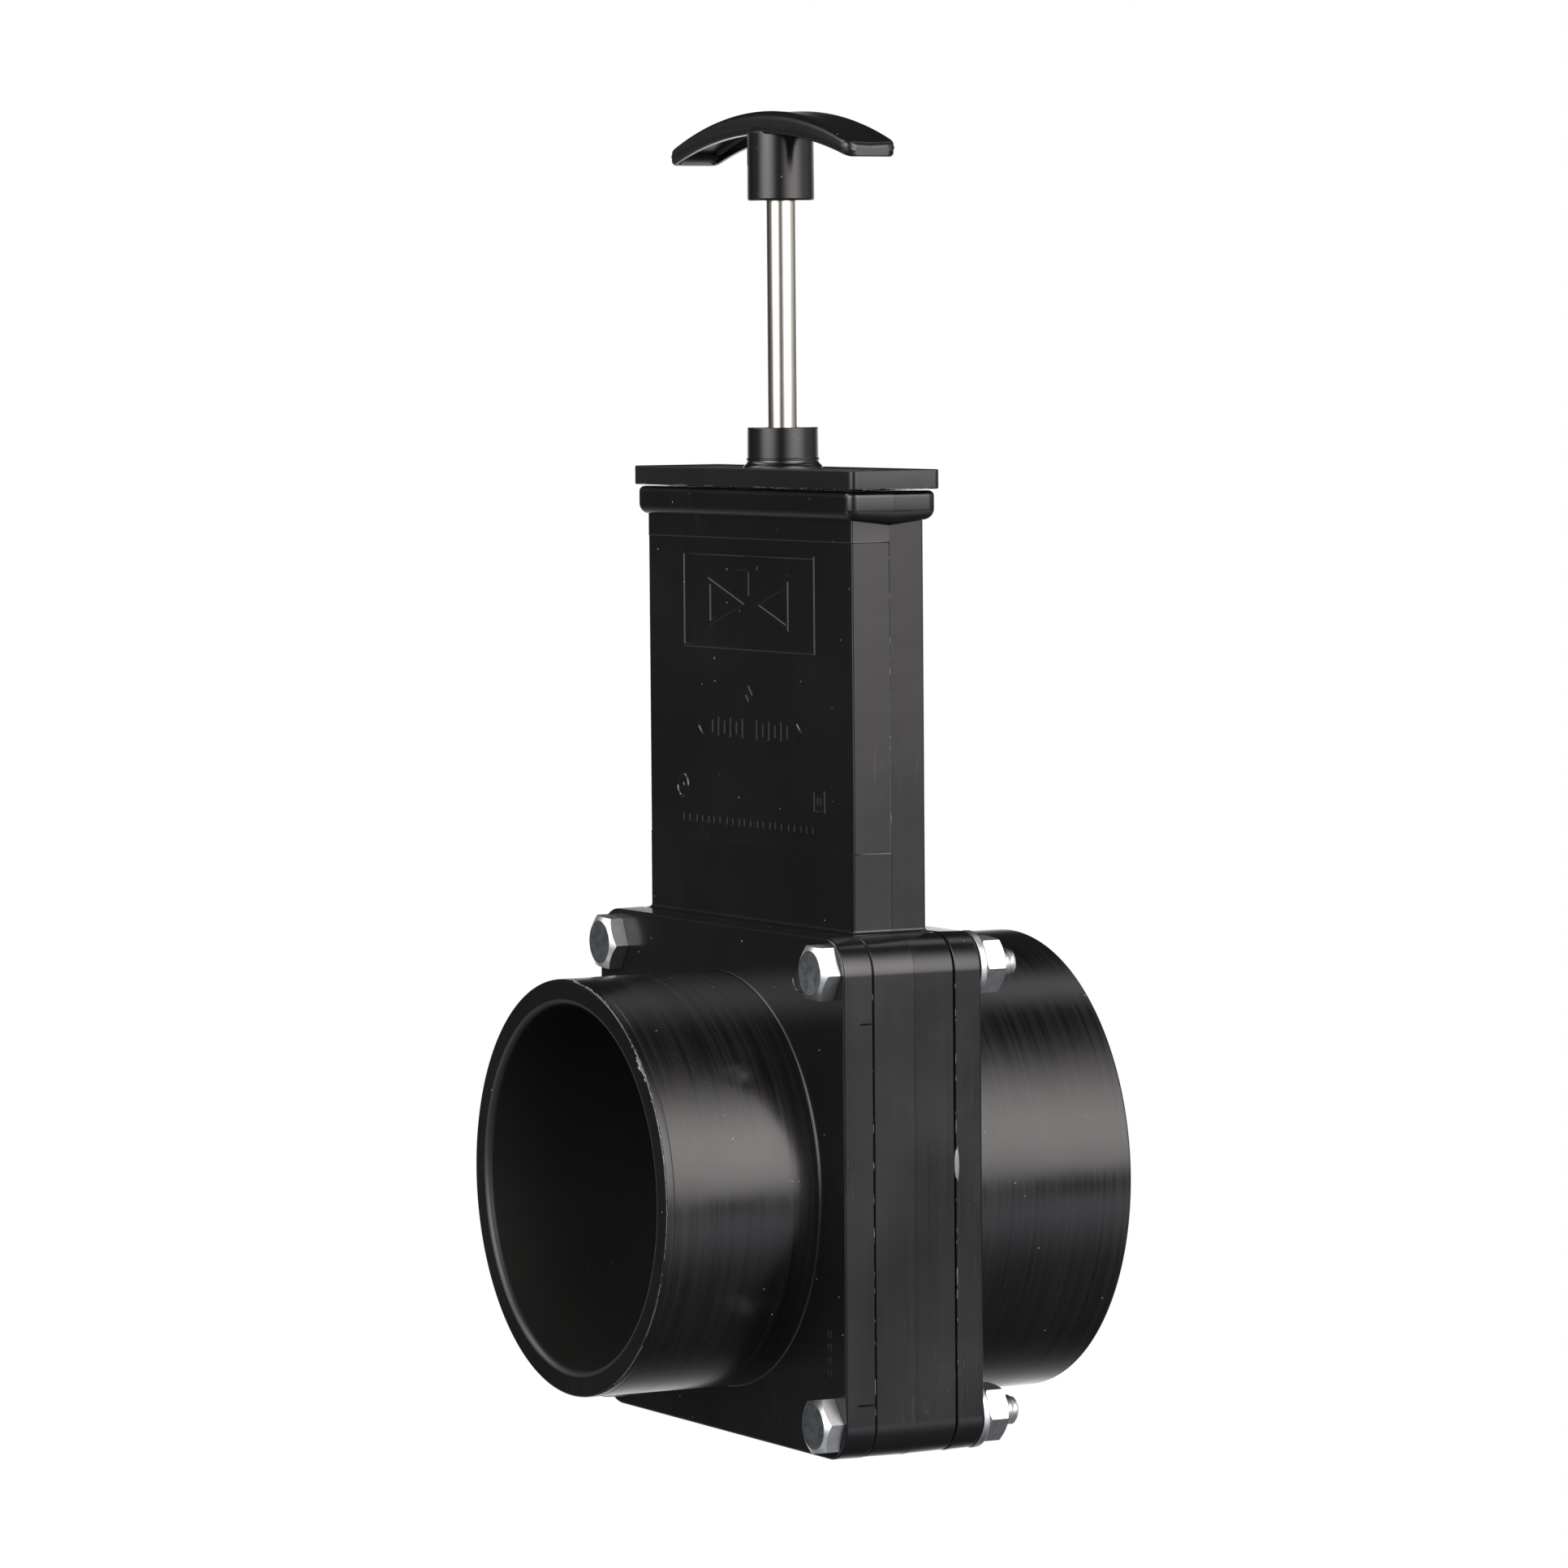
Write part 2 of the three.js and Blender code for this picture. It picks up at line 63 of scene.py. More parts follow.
SPIGOT_MOUTH_Y = box_mm("spigot_fitting")[0].y
HUB_LOW, HUB_HIGH = box_mm("hub_fitting")
BODY_TOP = box_mm("valve_body")[1].z
CAP_LOW, CAP_HIGH = box_mm("bonnet_cap")
BLADE_HIGH = box_mm("gate_blade")[1]
ROD_LOW, ROD_HIGH = box_mm("pull_rod")
HANDLE_LOW, HANDLE_HIGH = box_mm("pull_handle")

HALF_SQUARE = HUB_HIGH.x
AXIS_Z = (HUB_HIGH.z + HUB_LOW.z) / 2
FACE_Y = HUB_LOW.y   # where the flanges meet the centre body
SEAM = 0.18          # gap at that joint
CLEAR = 0.05         # hairline gap under heads, nuts and washers
SPIGOT_FLANGE_Y = -16.9
HUB_FLANGE_Y = 16.4
CORNER = 8.0
PIPE_RADIUS = 3.5 * INCH / 2
BORE = 38.9
HUB_RADIUS = 50.0
BOLT_OFFSET = 3.75 * INCH / 2
BOLT_RADIUS = INCH / 8

NECK_HALF_WIDTH = 45.75
NECK_FRONT = 8.9
NECK_BACK = 8.4
COLLAR_BOTTOM = AXIS_Z + 140.6
CAP_PLATE_TOP = AXIS_Z + 152.2


# ------ mesh tools

MERGE = 0.002 * MM   # points closer than this are one point
SHARP = 35           # degrees between faces from which an edge stays sharp
HEX_SHARP = 24       # the same on bolts and nuts, whose chamfers are shallow


def mark_sharp(mesh, degrees=SHARP):
    """Smooth all over, apart from edges sharper than the angle."""
    mesh.shade_smooth()
    mesh.set_sharp_from_angle(angle=math.radians(degrees))


def new_piece(name, vertices, faces):
    """A mesh object from points in millimetres."""
    mesh = bpy.data.meshes.new(name)
    mesh.from_pydata([tuple(c * MM for c in v) for v in vertices], [], faces)
    mesh.validate()
    mesh.update()
    mark_sharp(mesh)
    piece = bpy.data.objects.new(name, mesh)
    bpy.context.scene.collection.objects.link(piece)
    return piece


def clean(piece, sharp=SHARP):
    """Merges points that fall together, drops empty faces and turns the rest outwards."""
    mesh = bmesh.new()
    mesh.from_mesh(piece.data)
    bmesh.ops.remove_doubles(mesh, verts=mesh.verts, dist=MERGE)
    bmesh.ops.dissolve_degenerate(mesh, edges=mesh.edges, dist=MERGE)
    bmesh.ops.recalc_face_normals(mesh, faces=mesh.faces)
    mesh.to_mesh(piece.data)
    mesh.free()
    mark_sharp(piece.data, sharp)
    return piece


def skin(loops, ring=False):
    """Vertices and faces through equal loops, capped at both ends or closed into a ring."""
    count = len(loops[0])
    vertices = [p for loop in loops for p in loop]
    faces = []
    for i in range(len(loops) if ring else len(loops) - 1):
        a, b = i * count, ((i + 1) % len(loops)) * count
        for j in range(count):
            k = (j + 1) % count
            faces.append((a + j, a + k, b + k, b + j))
    if not ring:
        faces.append(tuple(reversed(range(count))))
        faces.append(tuple(range((len(loops) - 1) * count, len(loops) * count)))
    return vertices, faces


def solid(name, loops):
    return new_piece(name, *skin(loops))


def ring_piece(name, loops):
    return new_piece(name, *skin(loops, ring=True))


def rounded(points, radii, steps):
    """A closed outline of 2-D points with each corner rounded by its own radius."""
    outline = []
    for i, (corner, radius) in enumerate(zip(points, radii)):
        p = Vector(corner)
        to_last = (Vector(points[i - 1]) - p).normalized()
        to_next = (Vector(points[(i + 1) % len(points)]) - p).normalized()
        if radius <= 0:
            outline.append(tuple(p))
            continue
        half = math.acos(max(-1, min(1, to_last.dot(to_next)))) / 2
        reach = radius / math.tan(half)
        centre = p + (to_last + to_next).normalized() * (radius / math.sin(half))
        start = p + to_last * reach - centre
        end = p + to_next * reach - centre
        sweep = -start.angle_signed(end)
        for k in range(steps + 1):
            turn = Matrix.Rotation(sweep * k / steps, 2)
            outline.append(tuple(centre + turn @ start))
    return outline


def rectangle(x0, y0, x1, y1):
    return [(x0, y0), (x1, y0), (x1, y1), (x0, y1)]


def mirrored(side):
    """An outline from its right half, which runs from bottom to top."""
    return side + [(-x, y) for x, y in reversed(side)]


def turns(count, start=0.0):
    """Equal angles round a full turn."""
    return [2 * math.pi * k / count + start for k in range(count)]


def quarter(steps):
    """[run, inset] shares of a quarter round, from the end of its side to the full width."""
    angles = [math.pi / 2 * k / steps for k in range(steps + 1)]
    return [(1 - math.cos(a), 1 - math.sin(a)) for a in angles]


def turn_about_pipe(profile, segments):
    """Loops of a closed [radius, y] profile turned about the pipe axis."""
    return [[(r * math.cos(a), y, AXIS_Z + r * math.sin(a)) for r, y in profile]
            for a in turns(segments)]


def turn_about_rod(profile, segments):
    """Loops of a closed [radius, z] profile turned about the rod's axis."""
    return [[(r * math.cos(a), -r * math.sin(a), z) for r, z in profile]
            for a in turns(segments)]


def circle_loop(centre, y, radius, angles):
    """Points of a circle round an [x, z] centre."""
    x, z = centre
    return [(x + radius * math.cos(a), y, z + radius * math.sin(a)) for a in angles]


def rounded_rectangle(half_x, half_y, radius, steps):
    return rounded(rectangle(-half_x, -half_y, half_x, half_y), [radius] * 4, steps)


def combine(piece, others, operation):
    """Joins the others to a piece, or cuts them from it, and makes the result its mesh."""
    for other in others:
        modifier = piece.modifiers.new(operation.lower(), "BOOLEAN")
        modifier.operation = operation
        modifier.solver = "EXACT"
        modifier.object = other
    graph = bpy.context.evaluated_depsgraph_get()
    mesh = bpy.data.meshes.new_from_object(piece.evaluated_get(graph))
    piece.modifiers.clear()
    piece.data = mesh
    for other in others:
        bpy.data.objects.remove(other)
    return clean(piece)


def smooth_edges(piece):
    """Keeps flat faces flat beside small fillets."""
    modifier = piece.modifiers.new("weighted_normals", "WEIGHTED_NORMAL")
    modifier.keep_sharp = True
    return piece


def bevel(piece, width):
    modifier = piece.modifiers.new("bevel", "BEVEL")
    modifier.width = width * MM
    modifier.segments = 3
    modifier.limit_method = "ANGLE"
    modifier.angle_limit = math.radians(40)


def box_piece(name, low, high):
    x0, y0, z0 = low
    x1, y1, z1 = high
    base = rectangle(x0, y0, x1, y1)
    return solid(name, [[(x, y, z) for x, y in base] for z in (z0, z1)])


def rod_piece(name, radius, centre, y0, y1, segments=32):
    """A plain round bar along Y."""
    angles = turns(segments)
    return solid(name, [circle_loop(centre, y, radius, angles) for y in (y1, y0)])


def stepped_post(name, profile, segments):
    """An upright round post with a radius at each height."""
    angles = turns(segments)
    return solid(name, [[(r * math.cos(a), r * math.sin(a), z) for a in angles]
                        for r, z in profile])


BOLT_CENTRES = [(x, AXIS_Z + z) for z in (BOLT_OFFSET, -BOLT_OFFSET)
                for x in (-BOLT_OFFSET, BOLT_OFFSET)]
BAR_HOLE = BOLT_RADIUS + 0.22   # clears a bolt or the rod, which are equally thick


def bolt_hole_cutters(y0, y1):
    return [rod_piece("hole", BAR_HOLE, c, y0 - 1, y1 + 1) for c in BOLT_CENTRES]


# ------ camera

CAMERA_AZIMUTH = math.radians(61.18)
CAMERA_ELEVATION = math.radians(3.53)
CAMERA_ROLL = math.radians(-0.459)
CAMERA_DISTANCE = 1551.0
CAMERA_SIDE = -0.35
CAMERA_RISE = 83.9      # above the pipe axis
FOCAL_LENGTH = 164.85   # on a sensor 36 mm wide


def add_camera():
    aim = (Matrix.Rotation(CAMERA_AZIMUTH, 4, "Z")
           @ Matrix.Rotation(math.pi / 2 - CAMERA_ELEVATION, 4, "X"))
    place = aim @ Vector((CAMERA_SIDE, CAMERA_RISE, CAMERA_DISTANCE)) + Vector((0, 0, AXIS_Z))
    data = bpy.data.cameras.new("camera")
    data.lens = FOCAL_LENGTH
    camera = bpy.data.objects.new("camera", data)
    roll = Matrix.Rotation(CAMERA_ROLL, 4, "Z")
    camera.matrix_world = Matrix.Translation(place * MM) @ aim @ roll
    bpy.context.scene.collection.objects.link(camera)
    bpy.context.scene.camera = camera


add_camera()


# ------ materials

class Nodes:
    """A node tree, filled by short calls. An input is a value or another node's output."""

    def __init__(self, tree):
        self.tree = tree

    def give(self, socket, value):
        if isinstance(value, bpy.types.NodeSocket):
            self.tree.links.new(value, socket)
        else:
            socket.default_value = value

    def add(self, kind, inputs=None, **settings):
        node = self.tree.nodes.new(kind)
        for key, value in settings.items():
            setattr(node, key, value)
        for key, value in (inputs or {}).items():
            self.give(node.inputs[key], value)
        return node

    def out(self, kind, inputs=None, **settings):
        """A new node's first output."""
        return self.add(kind, inputs, **settings).outputs[0]

    def math(self, operation, *values):
        return self.out("ShaderNodeMath", dict(enumerate(values)), operation=operation)


class Shader(Nodes):
    """A material round one Principled shader."""

    def __init__(self, name):
        self.material = bpy.data.materials.new(name)
        self.material.use_nodes = True
        super().__init__(self.material.node_tree)
        self.surface = self.tree.nodes["Principled BSDF"]
        self.place = self.add("ShaderNodeTexCoord").outputs["Object"]

    def finish(self, colour, roughness, normal, metallic=0.0):
        for key, value in (("Base Color", colour), ("Roughness", roughness),
                           ("Normal", normal), ("Metallic", metallic)):
            self.give(self.surface.inputs[key], value)
        return self.material

    def stretched(self, scale, turn=(0, 0, 0)):
        return self.out("ShaderNodeMapping", {"Vector": self.place, "Scale": scale,
                                              "Rotation": turn})

    def noise(self, scale, detail=3.0, vector=None, roughness=0.5):
        return self.out("ShaderNodeTexNoise", {
            "Vector": vector or self.place, "Scale": scale, "Detail": detail,
            "Roughness": roughness})

    def remap(self, value, low, high, to_low=0.0, to_high=1.0):
        return self.out("ShaderNodeMapRange", {
            "Value": value, "From Min": low, "From Max": high,
            "To Min": to_low, "To Max": to_high})

    def blend(self, factor, *colours):
        """Two colours mixed: the node's sockets 6 and 7 and its output 2 are the coloured ones."""
        a, b = ((*c, 1) if isinstance(c, tuple) else c for c in colours)
        mixed = self.add("ShaderNodeMix", {"Factor": factor, 6: a, 7: b}, data_type="RGBA")
        return mixed.outputs[2]

    def specks(self, scale, radius, share):
        """Round specks: one in each cell of a random share of the cells."""
        cells = self.add("ShaderNodeTexVoronoi", {"Vector": self.place, "Scale": scale}).outputs
        near = self.remap(cells["Distance"], radius, radius * 0.5)
        red = self.out("ShaderNodeSeparateColor", {"Color": cells["Color"]})
        return self.math("MULTIPLY", near, self.math("LESS_THAN", red, share))

    def scratches(self, across, along, turn, width):
        """Thin lines: the middle values of a long stretched noise."""
        lines = self.noise(1.0, 1.0, self.stretched((across, across, along), turn))
        away = self.math("ABSOLUTE", self.math("SUBTRACT", lines, 0.5))
        return self.remap(away, width, 0.0)

    def bump(self, height, strength, distance, normal=None):
        inputs = {"Height": height, "Strength": strength, "Distance": distance}
        if normal:
            inputs["Normal"] = normal
        return self.out("ShaderNodeBump", inputs)


def black_plastic(name, streak_scale, roughness, streak_strength, tones, waves=0.06,
                  patches=0.03, banded=False):
    """Black moulded ABS: glossy, with fine lines, hairline scratches and a little dust."""
    s = Shader(name)
    clouds = s.noise(35, 4)
    streaks = s.noise(1.0, 5.0, s.stretched(streak_scale), 0.62)
    scratches = s.math("MAXIMUM", s.scratches(900, 30, (0.3, 0.1, 0.5), 0.004),
                       s.scratches(700, 24, (1.2, 0.6, 0.2), 0.003))
    patchy = s.remap(s.noise(60, 2), 0.55, 0.75)
    worn = s.math("MULTIPLY", scratches, patchy)
    dust = s.math("MAXIMUM", s.specks(190, 0.050, 0.24), s.specks(520, 0.10, 0.05))
    tone = s.blend(s.remap(streaks, 0.38, 0.62) if banded else clouds, *tones)
    scratched = s.blend(worn, tone, (0.020, 0.020, 0.021))
    colour = s.blend(dust, scratched, (0.28, 0.27, 0.26))
    streaky = 0.015 + 0.03 * streak_strength
    gloss = s.math("ADD", s.remap(clouds, 0.3, 0.7, roughness - patches, roughness + patches),
                   s.remap(streaks, 0.3, 0.7, -streaky, streaky))
    dusty = s.math("ADD", gloss, s.math("MULTIPLY", s.math("MAXIMUM", dust, worn), 0.25))
    wavy = s.bump(s.noise(60, 2), waves, 0.0006)
    lined = s.bump(streaks, streak_strength, 0.00003, wavy)
    s.surface.inputs["IOR"].default_value = 1.54
    return s.finish(colour, dusty, s.bump(worn, 0.15, 0.00003, lined))


def zinc_plate(name, tones):
    """Bright zinc on steel: mottled, lightly pitted, duller in patches."""
    s = Shader(name)
    patches = s.noise(420, 4, roughness=0.65)
    pitted = s.bump(s.noise(2600, 3), 0.08, 0.00002, s.bump(patches, 0.05, 0.00006))
    return s.finish(s.blend(s.remap(patches, 0.35, 0.65), *tones),
                    s.remap(patches, 0.3, 0.7, 0.40, 0.32), pitted, metallic=1.0)


def drawn_stainless(name):
    """Polished stainless bar with faint lengthwise drawing lines and round grinding marks."""
    s = Shader(name)
    lengthwise = s.noise(1.0, 3, s.stretched((2600, 2600, 25)))
    around = s.noise(1.0, 2, s.stretched((60, 60, 5200)))
    tone = s.blend(s.noise(160, 3), (0.60, 0.555, 0.505), (0.76, 0.735, 0.70))
    rubbed = s.math("MULTIPLY", s.scratches(420, 60, (0.5, 0.2, 0.9), 0.006),
                    s.remap(s.noise(90, 2), 0.52, 0.62))
    ground = s.bump(around, 0.03, 0.00001, s.bump(lengthwise, 0.05, 0.00002))
    return s.finish(s.blend(rubbed, tone, (0.30, 0.27, 0.24)),
                    s.remap(lengthwise, 0.3, 0.7, 0.10, 0.17), ground, metallic=1.0)


def matt_rubber(name):
    s = Shader(name)
    fine = s.noise(1800, 3)
    return s.finish(s.blend(s.noise(90, 3), (0.010, 0.010, 0.010), (0.018, 0.017, 0.016)),
                    s.remap(fine, 0.3, 0.7, 0.55, 0.75), s.bump(fine, 0.35, 0.00005))


def blade_plastic(name):
    """Satin polypropylene with a fine sliding wear along Z."""
    s = Shader(name)
    wear = s.noise(1.0, 3, s.stretched((1800, 1800, 14)))
    return s.finish(s.blend(wear, (0.010, 0.010, 0.011), (0.020, 0.020, 0.021)),
                    s.remap(wear, 0.3, 0.7, 0.36, 0.52), s.bump(wear, 0.2, 0.00003))


MOULDED = ((0.0036, 0.0039, 0.0056), (0.0080, 0.0068, 0.0058))
BANDED = ((0.0025, 0.0026, 0.0030), (0.0098, 0.0088, 0.0080))
SATIN = ((0.0080, 0.0082, 0.0088), (0.0120, 0.0114, 0.0108))
# Lighter tones for the bore: painted light that lifts the shade inside a bore of the same black
# plastic.
BORE_PAINTED_LIGHT = ((0.012, 0.012, 0.0115), (0.016, 0.0155, 0.0145))
BURRED = ((0.06, 0.06, 0.06), (0.42, 0.41, 0.40))
ABS_FLAT = black_plastic("abs_flat", (900, 900, 14), 0.19, 0.02, MOULDED, 0.08, 0.045)
ABS_TURNED = black_plastic("abs_turned", (14, 1100, 14), 0.225, 0.40, BANDED, 0.12,
                           0.06, banded=True)
ABS_SATIN = black_plastic("abs_satin", (500, 500, 500), 0.27, 0.10, SATIN)
# The bore's material is lighter than the other black plastics: painted light in the bore.
ABS_BORE_PAINTED_LIGHT = black_plastic("abs_bore_painted_light", (14, 900, 14), 0.38, 0.12, BORE_PAINTED_LIGHT)
ABS_UPRIGHT = black_plastic("abs_upright", (20, 20, 1200), 0.16, 0.08, MOULDED)
ABS_BURR = black_plastic("abs_burr", (300, 300, 300), 0.35, 0.10, BURRED)
ABS_MATT = black_plastic("abs_matt", (500, 500, 500), 0.50, 0.10, MOULDED)
ZINC = zinc_plate("zinc_plate", ((0.60, 0.62, 0.63), (0.86, 0.87, 0.87)))
# A darker copy of the same zinc for the bolt heads' flat discs: painted dark reflection, standing
# in for the dark surroundings the discs mirror.
ZINC_PAINTED_DARK_REFLECTION = zinc_plate("zinc_painted_dark_reflection", ((0.17, 0.19, 0.21), (0.42, 0.44, 0.46)))
STAINLESS = drawn_stainless("drawn_stainless")
RUBBER = matt_rubber("seal_rubber")
BLADE = blade_plastic("blade_polypropylene")


def dress(piece, body, slot, material, *nodes):
    """Gives a piece its material and body, and hides the CAD nodes that it stands for. The slot is
    not used.
    """
    piece.data.materials.clear()
    piece.data.materials.append(material)
    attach(piece, body)
    if nodes:
        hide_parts(*nodes)
    return piece


def paint(piece, materials, choose):
    """Further finishes on one piece, picked for each face by where its centre is."""
    for material in materials:
        piece.data.materials.append(material)
    for polygon in piece.data.polygons:
        polygon.material_index = choose(polygon.center / MM)


# ------ square plates

EDGE = 0.45          # rounding of the plates' outer edges
DRAFT = 0.12         # how much a moulded side leans in from the mould's parting plane


def edge_stations(y_start, y_end, inset_start, inset_end, start, end):
    """[y, inset] stations of a plate's side, with a quarter round at each end."""
    sign = math.copysign(1, y_end - y_start)
    near = [(y_start + sign * start * run, inset_start + start * inset)
            for run, inset in quarter(4)]
    far = [(y_end - sign * end * inset, inset_end + end * run) for run, inset in quarter(4)]
    return near + far


def plate_piece(name, stations):
    """A rounded square plate through [y, inset] stations."""
    loops = []
    for y, inset in stations:
        half = HALF_SQUARE - inset
        outline = rounded_rectangle(half, half, CORNER - inset, 12)
        loops.append([(x, y, AXIS_Z + z) for x, z in outline])
    return solid(name, loops)


# ------ centre body

PARTING_RIDGE = 0.07
PARTING_HALF = 0.11
SIDE_LEAN = 0.10      # how far a side leans in from the parting to its front or back edge


def parted_outline(half, front, back, recess, front_round, back_round, steps):
    """An outline with a fine ridge on the parting. The recess pulls in its front half only."""
    side = [
        (half - SIDE_LEAN - recess, front + recess),
        (half - recess, -PARTING_HALF),
        (half + PARTING_RIDGE, 0.0),
        (half, PARTING_HALF),
        (half - SIDE_LEAN, back),
    ]
    radii = [front_round, 0, 0, 0, back_round]
    return rounded(mirrored(side), radii + radii[::-1], steps)


INSERT_LOW = AXIS_Z + 71.8
INSERT_HIGH = AXIS_Z + 137.1
NECK_FILLET = 0.8


def neck_piece():
    """The neck rises out of the square body. The mould's front insert leaves a faint recess
    with a thin raised line at each end."""
    top_of_square = AXIS_Z + HALF_SQUARE
    stations = [(top_of_square - 6, NECK_FILLET, 0.0)]
    stations += [(top_of_square + NECK_FILLET * run, NECK_FILLET * inset, 0.0)
                 for run, inset in quarter(4)]
    for z, side in ((INSERT_LOW, 1), (INSERT_HIGH, -1)):
        line = [(z - 0.16 * side, 0.0, 0.0), (z, 0.0, -0.07), (z + 0.16 * side, 0.0, 0.05)]
        stations += line[::side]
    stations.append((COLLAR_BOTTOM + 3, 0.0, 0.0))
    loops = []
    for z, grow, recess in stations:
        outline = parted_outline(NECK_HALF_WIDTH + grow, -(NECK_FRONT + grow),
                                 NECK_BACK + grow, recess, 0.5, 0.6, 4)
        loops.append([(x, y, z) for x, y in outline])
    return solid("neck", loops)


COLLAR_HALF_X = 48.1
COLLAR_HALF_Y = 10.7
COLLAR_DROP = 1.3     # how far the underside falls from its edges to the parting plane


def collar_piece():
    """Rounded collar at the top of the neck; its underside falls towards the parting."""
    bottom, top = COLLAR_BOTTOM + COLLAR_DROP, BODY_TOP
    low_round, high_round = 2.0, 1.3
    stations = [(bottom + low_round * run, low_round * inset) for run, inset in quarter(6)]
    stations += [(top - high_round * inset, high_round * run) for run, inset in quarter(5)]
    loops = []
    for z, inset in stations:
        half_y = COLLAR_HALF_Y - inset
        radius = max(0.3, 2.4 - inset)
        outline = parted_outline(COLLAR_HALF_X - inset, -half_y, half_y, 0.0,
                                 radius, radius, 6)
        drop = COLLAR_DROP * max(0.0, 1 - (z - bottom) / low_round)
        loops.append([(x, y, z - drop * max(0.0, 1 - abs(y) / COLLAR_HALF_Y))
                      for x, y in outline])
    return solid("collar", loops)


CHAMBER_HALF_X = 43.0
CHAMBER_HALF_Y = 5.8
SEAL_POCKET = 46.6
SEAL_LIP_Y = 2.8


def centre_body():
    near, far = -FACE_Y + SEAM, FACE_Y - SEAM
    stations = edge_stations(far, PARTING_HALF, DRAFT, 0.0, EDGE, 0.0)[:-4]
    stations += [(0.0, -PARTING_RIDGE)]
    stations += edge_stations(near, -PARTING_HALF, DRAFT, 0.0, EDGE, 0.0)[:-4][::-1]
    body = plate_piece("centre_body", stations)
    combine(body, [neck_piece(), collar_piece()], "UNION")
    centre = (0, AXIS_Z)
    cutters = [
        box_piece("chamber", (-CHAMBER_HALF_X, -CHAMBER_HALF_Y, AXIS_Z),
                  (CHAMBER_HALF_X, CHAMBER_HALF_Y, BODY_TOP + 1)),
        rod_piece("seat", CHAMBER_HALF_X, centre, -20, 20, 128),
        rod_piece("pocket", SEAL_POCKET, centre, -20, -SEAL_LIP_Y, 120),
        rod_piece("pocket", SEAL_POCKET, centre, SEAL_LIP_Y, 20, 120),
    ]
    combine(body, cutters + bolt_hole_cutters(near, far), "DIFFERENCE")
    return smooth_edges(body)


dress(centre_body(), "housing", "black_abs", ABS_FLAT, "valve_body")


# ------ spigot and hub fittings

SOCKET_STOP_Y = HUB_HIGH.y - 1.5 * INCH
TUBE_SEGMENTS = 192


def arc_points(centre, radius, start, end, steps):
    """Points of an arc in the [radius, y] plane, from start to end in degrees."""
    angles = [math.radians(start + (end - start) * k / steps) for k in range(steps + 1)]
    return [(centre[0] + radius * math.cos(a), centre[1] + radius * math.sin(a))
            for a in angles]


def fitting(name, stations, profile, bore_y):
    """A square flange with bolt holes, joined to a tube of a closed [radius, y] profile."""
    flange = plate_piece(name, stations)
    tube = ring_piece("tube", turn_about_pipe(profile, TUBE_SEGMENTS))
    bore = rod_piece("bore", BORE + 2, (0, AXIS_Z), *bore_y, TUBE_SEGMENTS)
    combine(flange, [bore] + bolt_hole_cutters(stations[0][0], stations[-1][0]), "DIFFERENCE")
    combine(flange, [tube], "UNION")
    return smooth_edges(flange)


def spigot_fitting():
    stations = edge_stations(SPIGOT_FLANGE_Y, -FACE_Y, DRAFT, 0.0, 0.6, 0.3)
    mouth, root, outside = SPIGOT_MOUTH_Y, 0.5, PIPE_RADIUS
    witness = mouth + 1.9
    profile = [(BORE, -FACE_Y), (BORE + 0.25, -30.0)]
    profile += arc_points((BORE + 0.25 + 1.4, mouth + 1.6), 1.6, 180, 270, 6)
    profile += arc_points((outside - 0.5, mouth + 0.5), 0.5, -90, 0, 5)
    profile += [(outside, witness - 0.12), (outside - 0.06, witness),
                (outside + 0.03, witness + 0.12), (outside + 0.1, SPIGOT_FLANGE_Y - 14)]
    profile += arc_points((outside + 0.12 + root, SPIGOT_FLANGE_Y - root), root, 180, 90, 6)
    profile += [(outside + 0.12 + root, -FACE_Y - 0.8)]
    return fitting("spigot_flange", stations, profile, (-60, 0))


def hub_fitting():
    stations = edge_stations(FACE_Y, HUB_FLANGE_Y, 0.0, DRAFT, 0.3, 0.6)
    mouth, root = HUB_HIGH.y, 0.7
    inside_mouth = PIPE_RADIUS + 0.4
    profile = [(BORE, SOCKET_STOP_Y), (BORE, FACE_Y), (HUB_RADIUS + root, FACE_Y)]
    profile += arc_points((HUB_RADIUS + root, HUB_FLANGE_Y + root), root, 270, 180, 6)
    profile += arc_points((HUB_RADIUS - 0.6, mouth - 0.6), 0.6, 0, 90, 5)
    profile += arc_points((inside_mouth + 1.2, mouth - 1.2), 1.2, 90, 180, 6)
    profile += [(PIPE_RADIUS - 0.1, SOCKET_STOP_Y)]
    return fitting("hub_flange", stations, profile, (0, 60))


def add_fitting(piece, node, bore_limit, rim_y, is_tube):
    """The bore is the dullest, and lighter than the rest: painted light that lifts the shade
    inside it; the flange and the front rim are the glossiest.
    """
    def finish_at(centre):
        if math.hypot(centre.x, centre.z - AXIS_Z) < bore_limit:
            return 2
        return 1 if is_tube(centre) and centre.y > rim_y else 0

    dress(piece, "housing", "black_abs", ABS_FLAT, node)
    paint(piece, (ABS_TURNED, ABS_BORE_PAINTED_LIGHT), finish_at)


add_fitting(spigot_fitting(), "spigot_fitting", BORE + 1.2, SPIGOT_MOUTH_Y + 0.3,
            lambda c: c.y < SPIGOT_FLANGE_Y - 0.1)
add_fitting(hub_fitting(), "hub_fitting", PIPE_RADIUS + 1, SPIGOT_MOUTH_Y,
            lambda c: c.y > HUB_FLANGE_Y + 0.1)


# ------ seals and blade

def seal_ring(name, side):
    inner, outer = BORE + 0.3, SEAL_POCKET - 0.3
    lip = SEAL_LIP_Y + CLEAR
    corners = [(inner, lip), (41.5, lip), (42.6, lip + 1.0), (outer, lip + 1.0),
               (outer, FACE_Y - 0.1), (inner, FACE_Y - 0.1)]
    profile = [(r, side * y) for r, y in rounded(corners, [0.5, 0.4, 0.3, 0.3, 0.3, 0.6], 4)]
    if side < 0:
        profile.reverse()
    return smooth_edges(ring_piece(name, turn_about_pipe(profile, 128)))


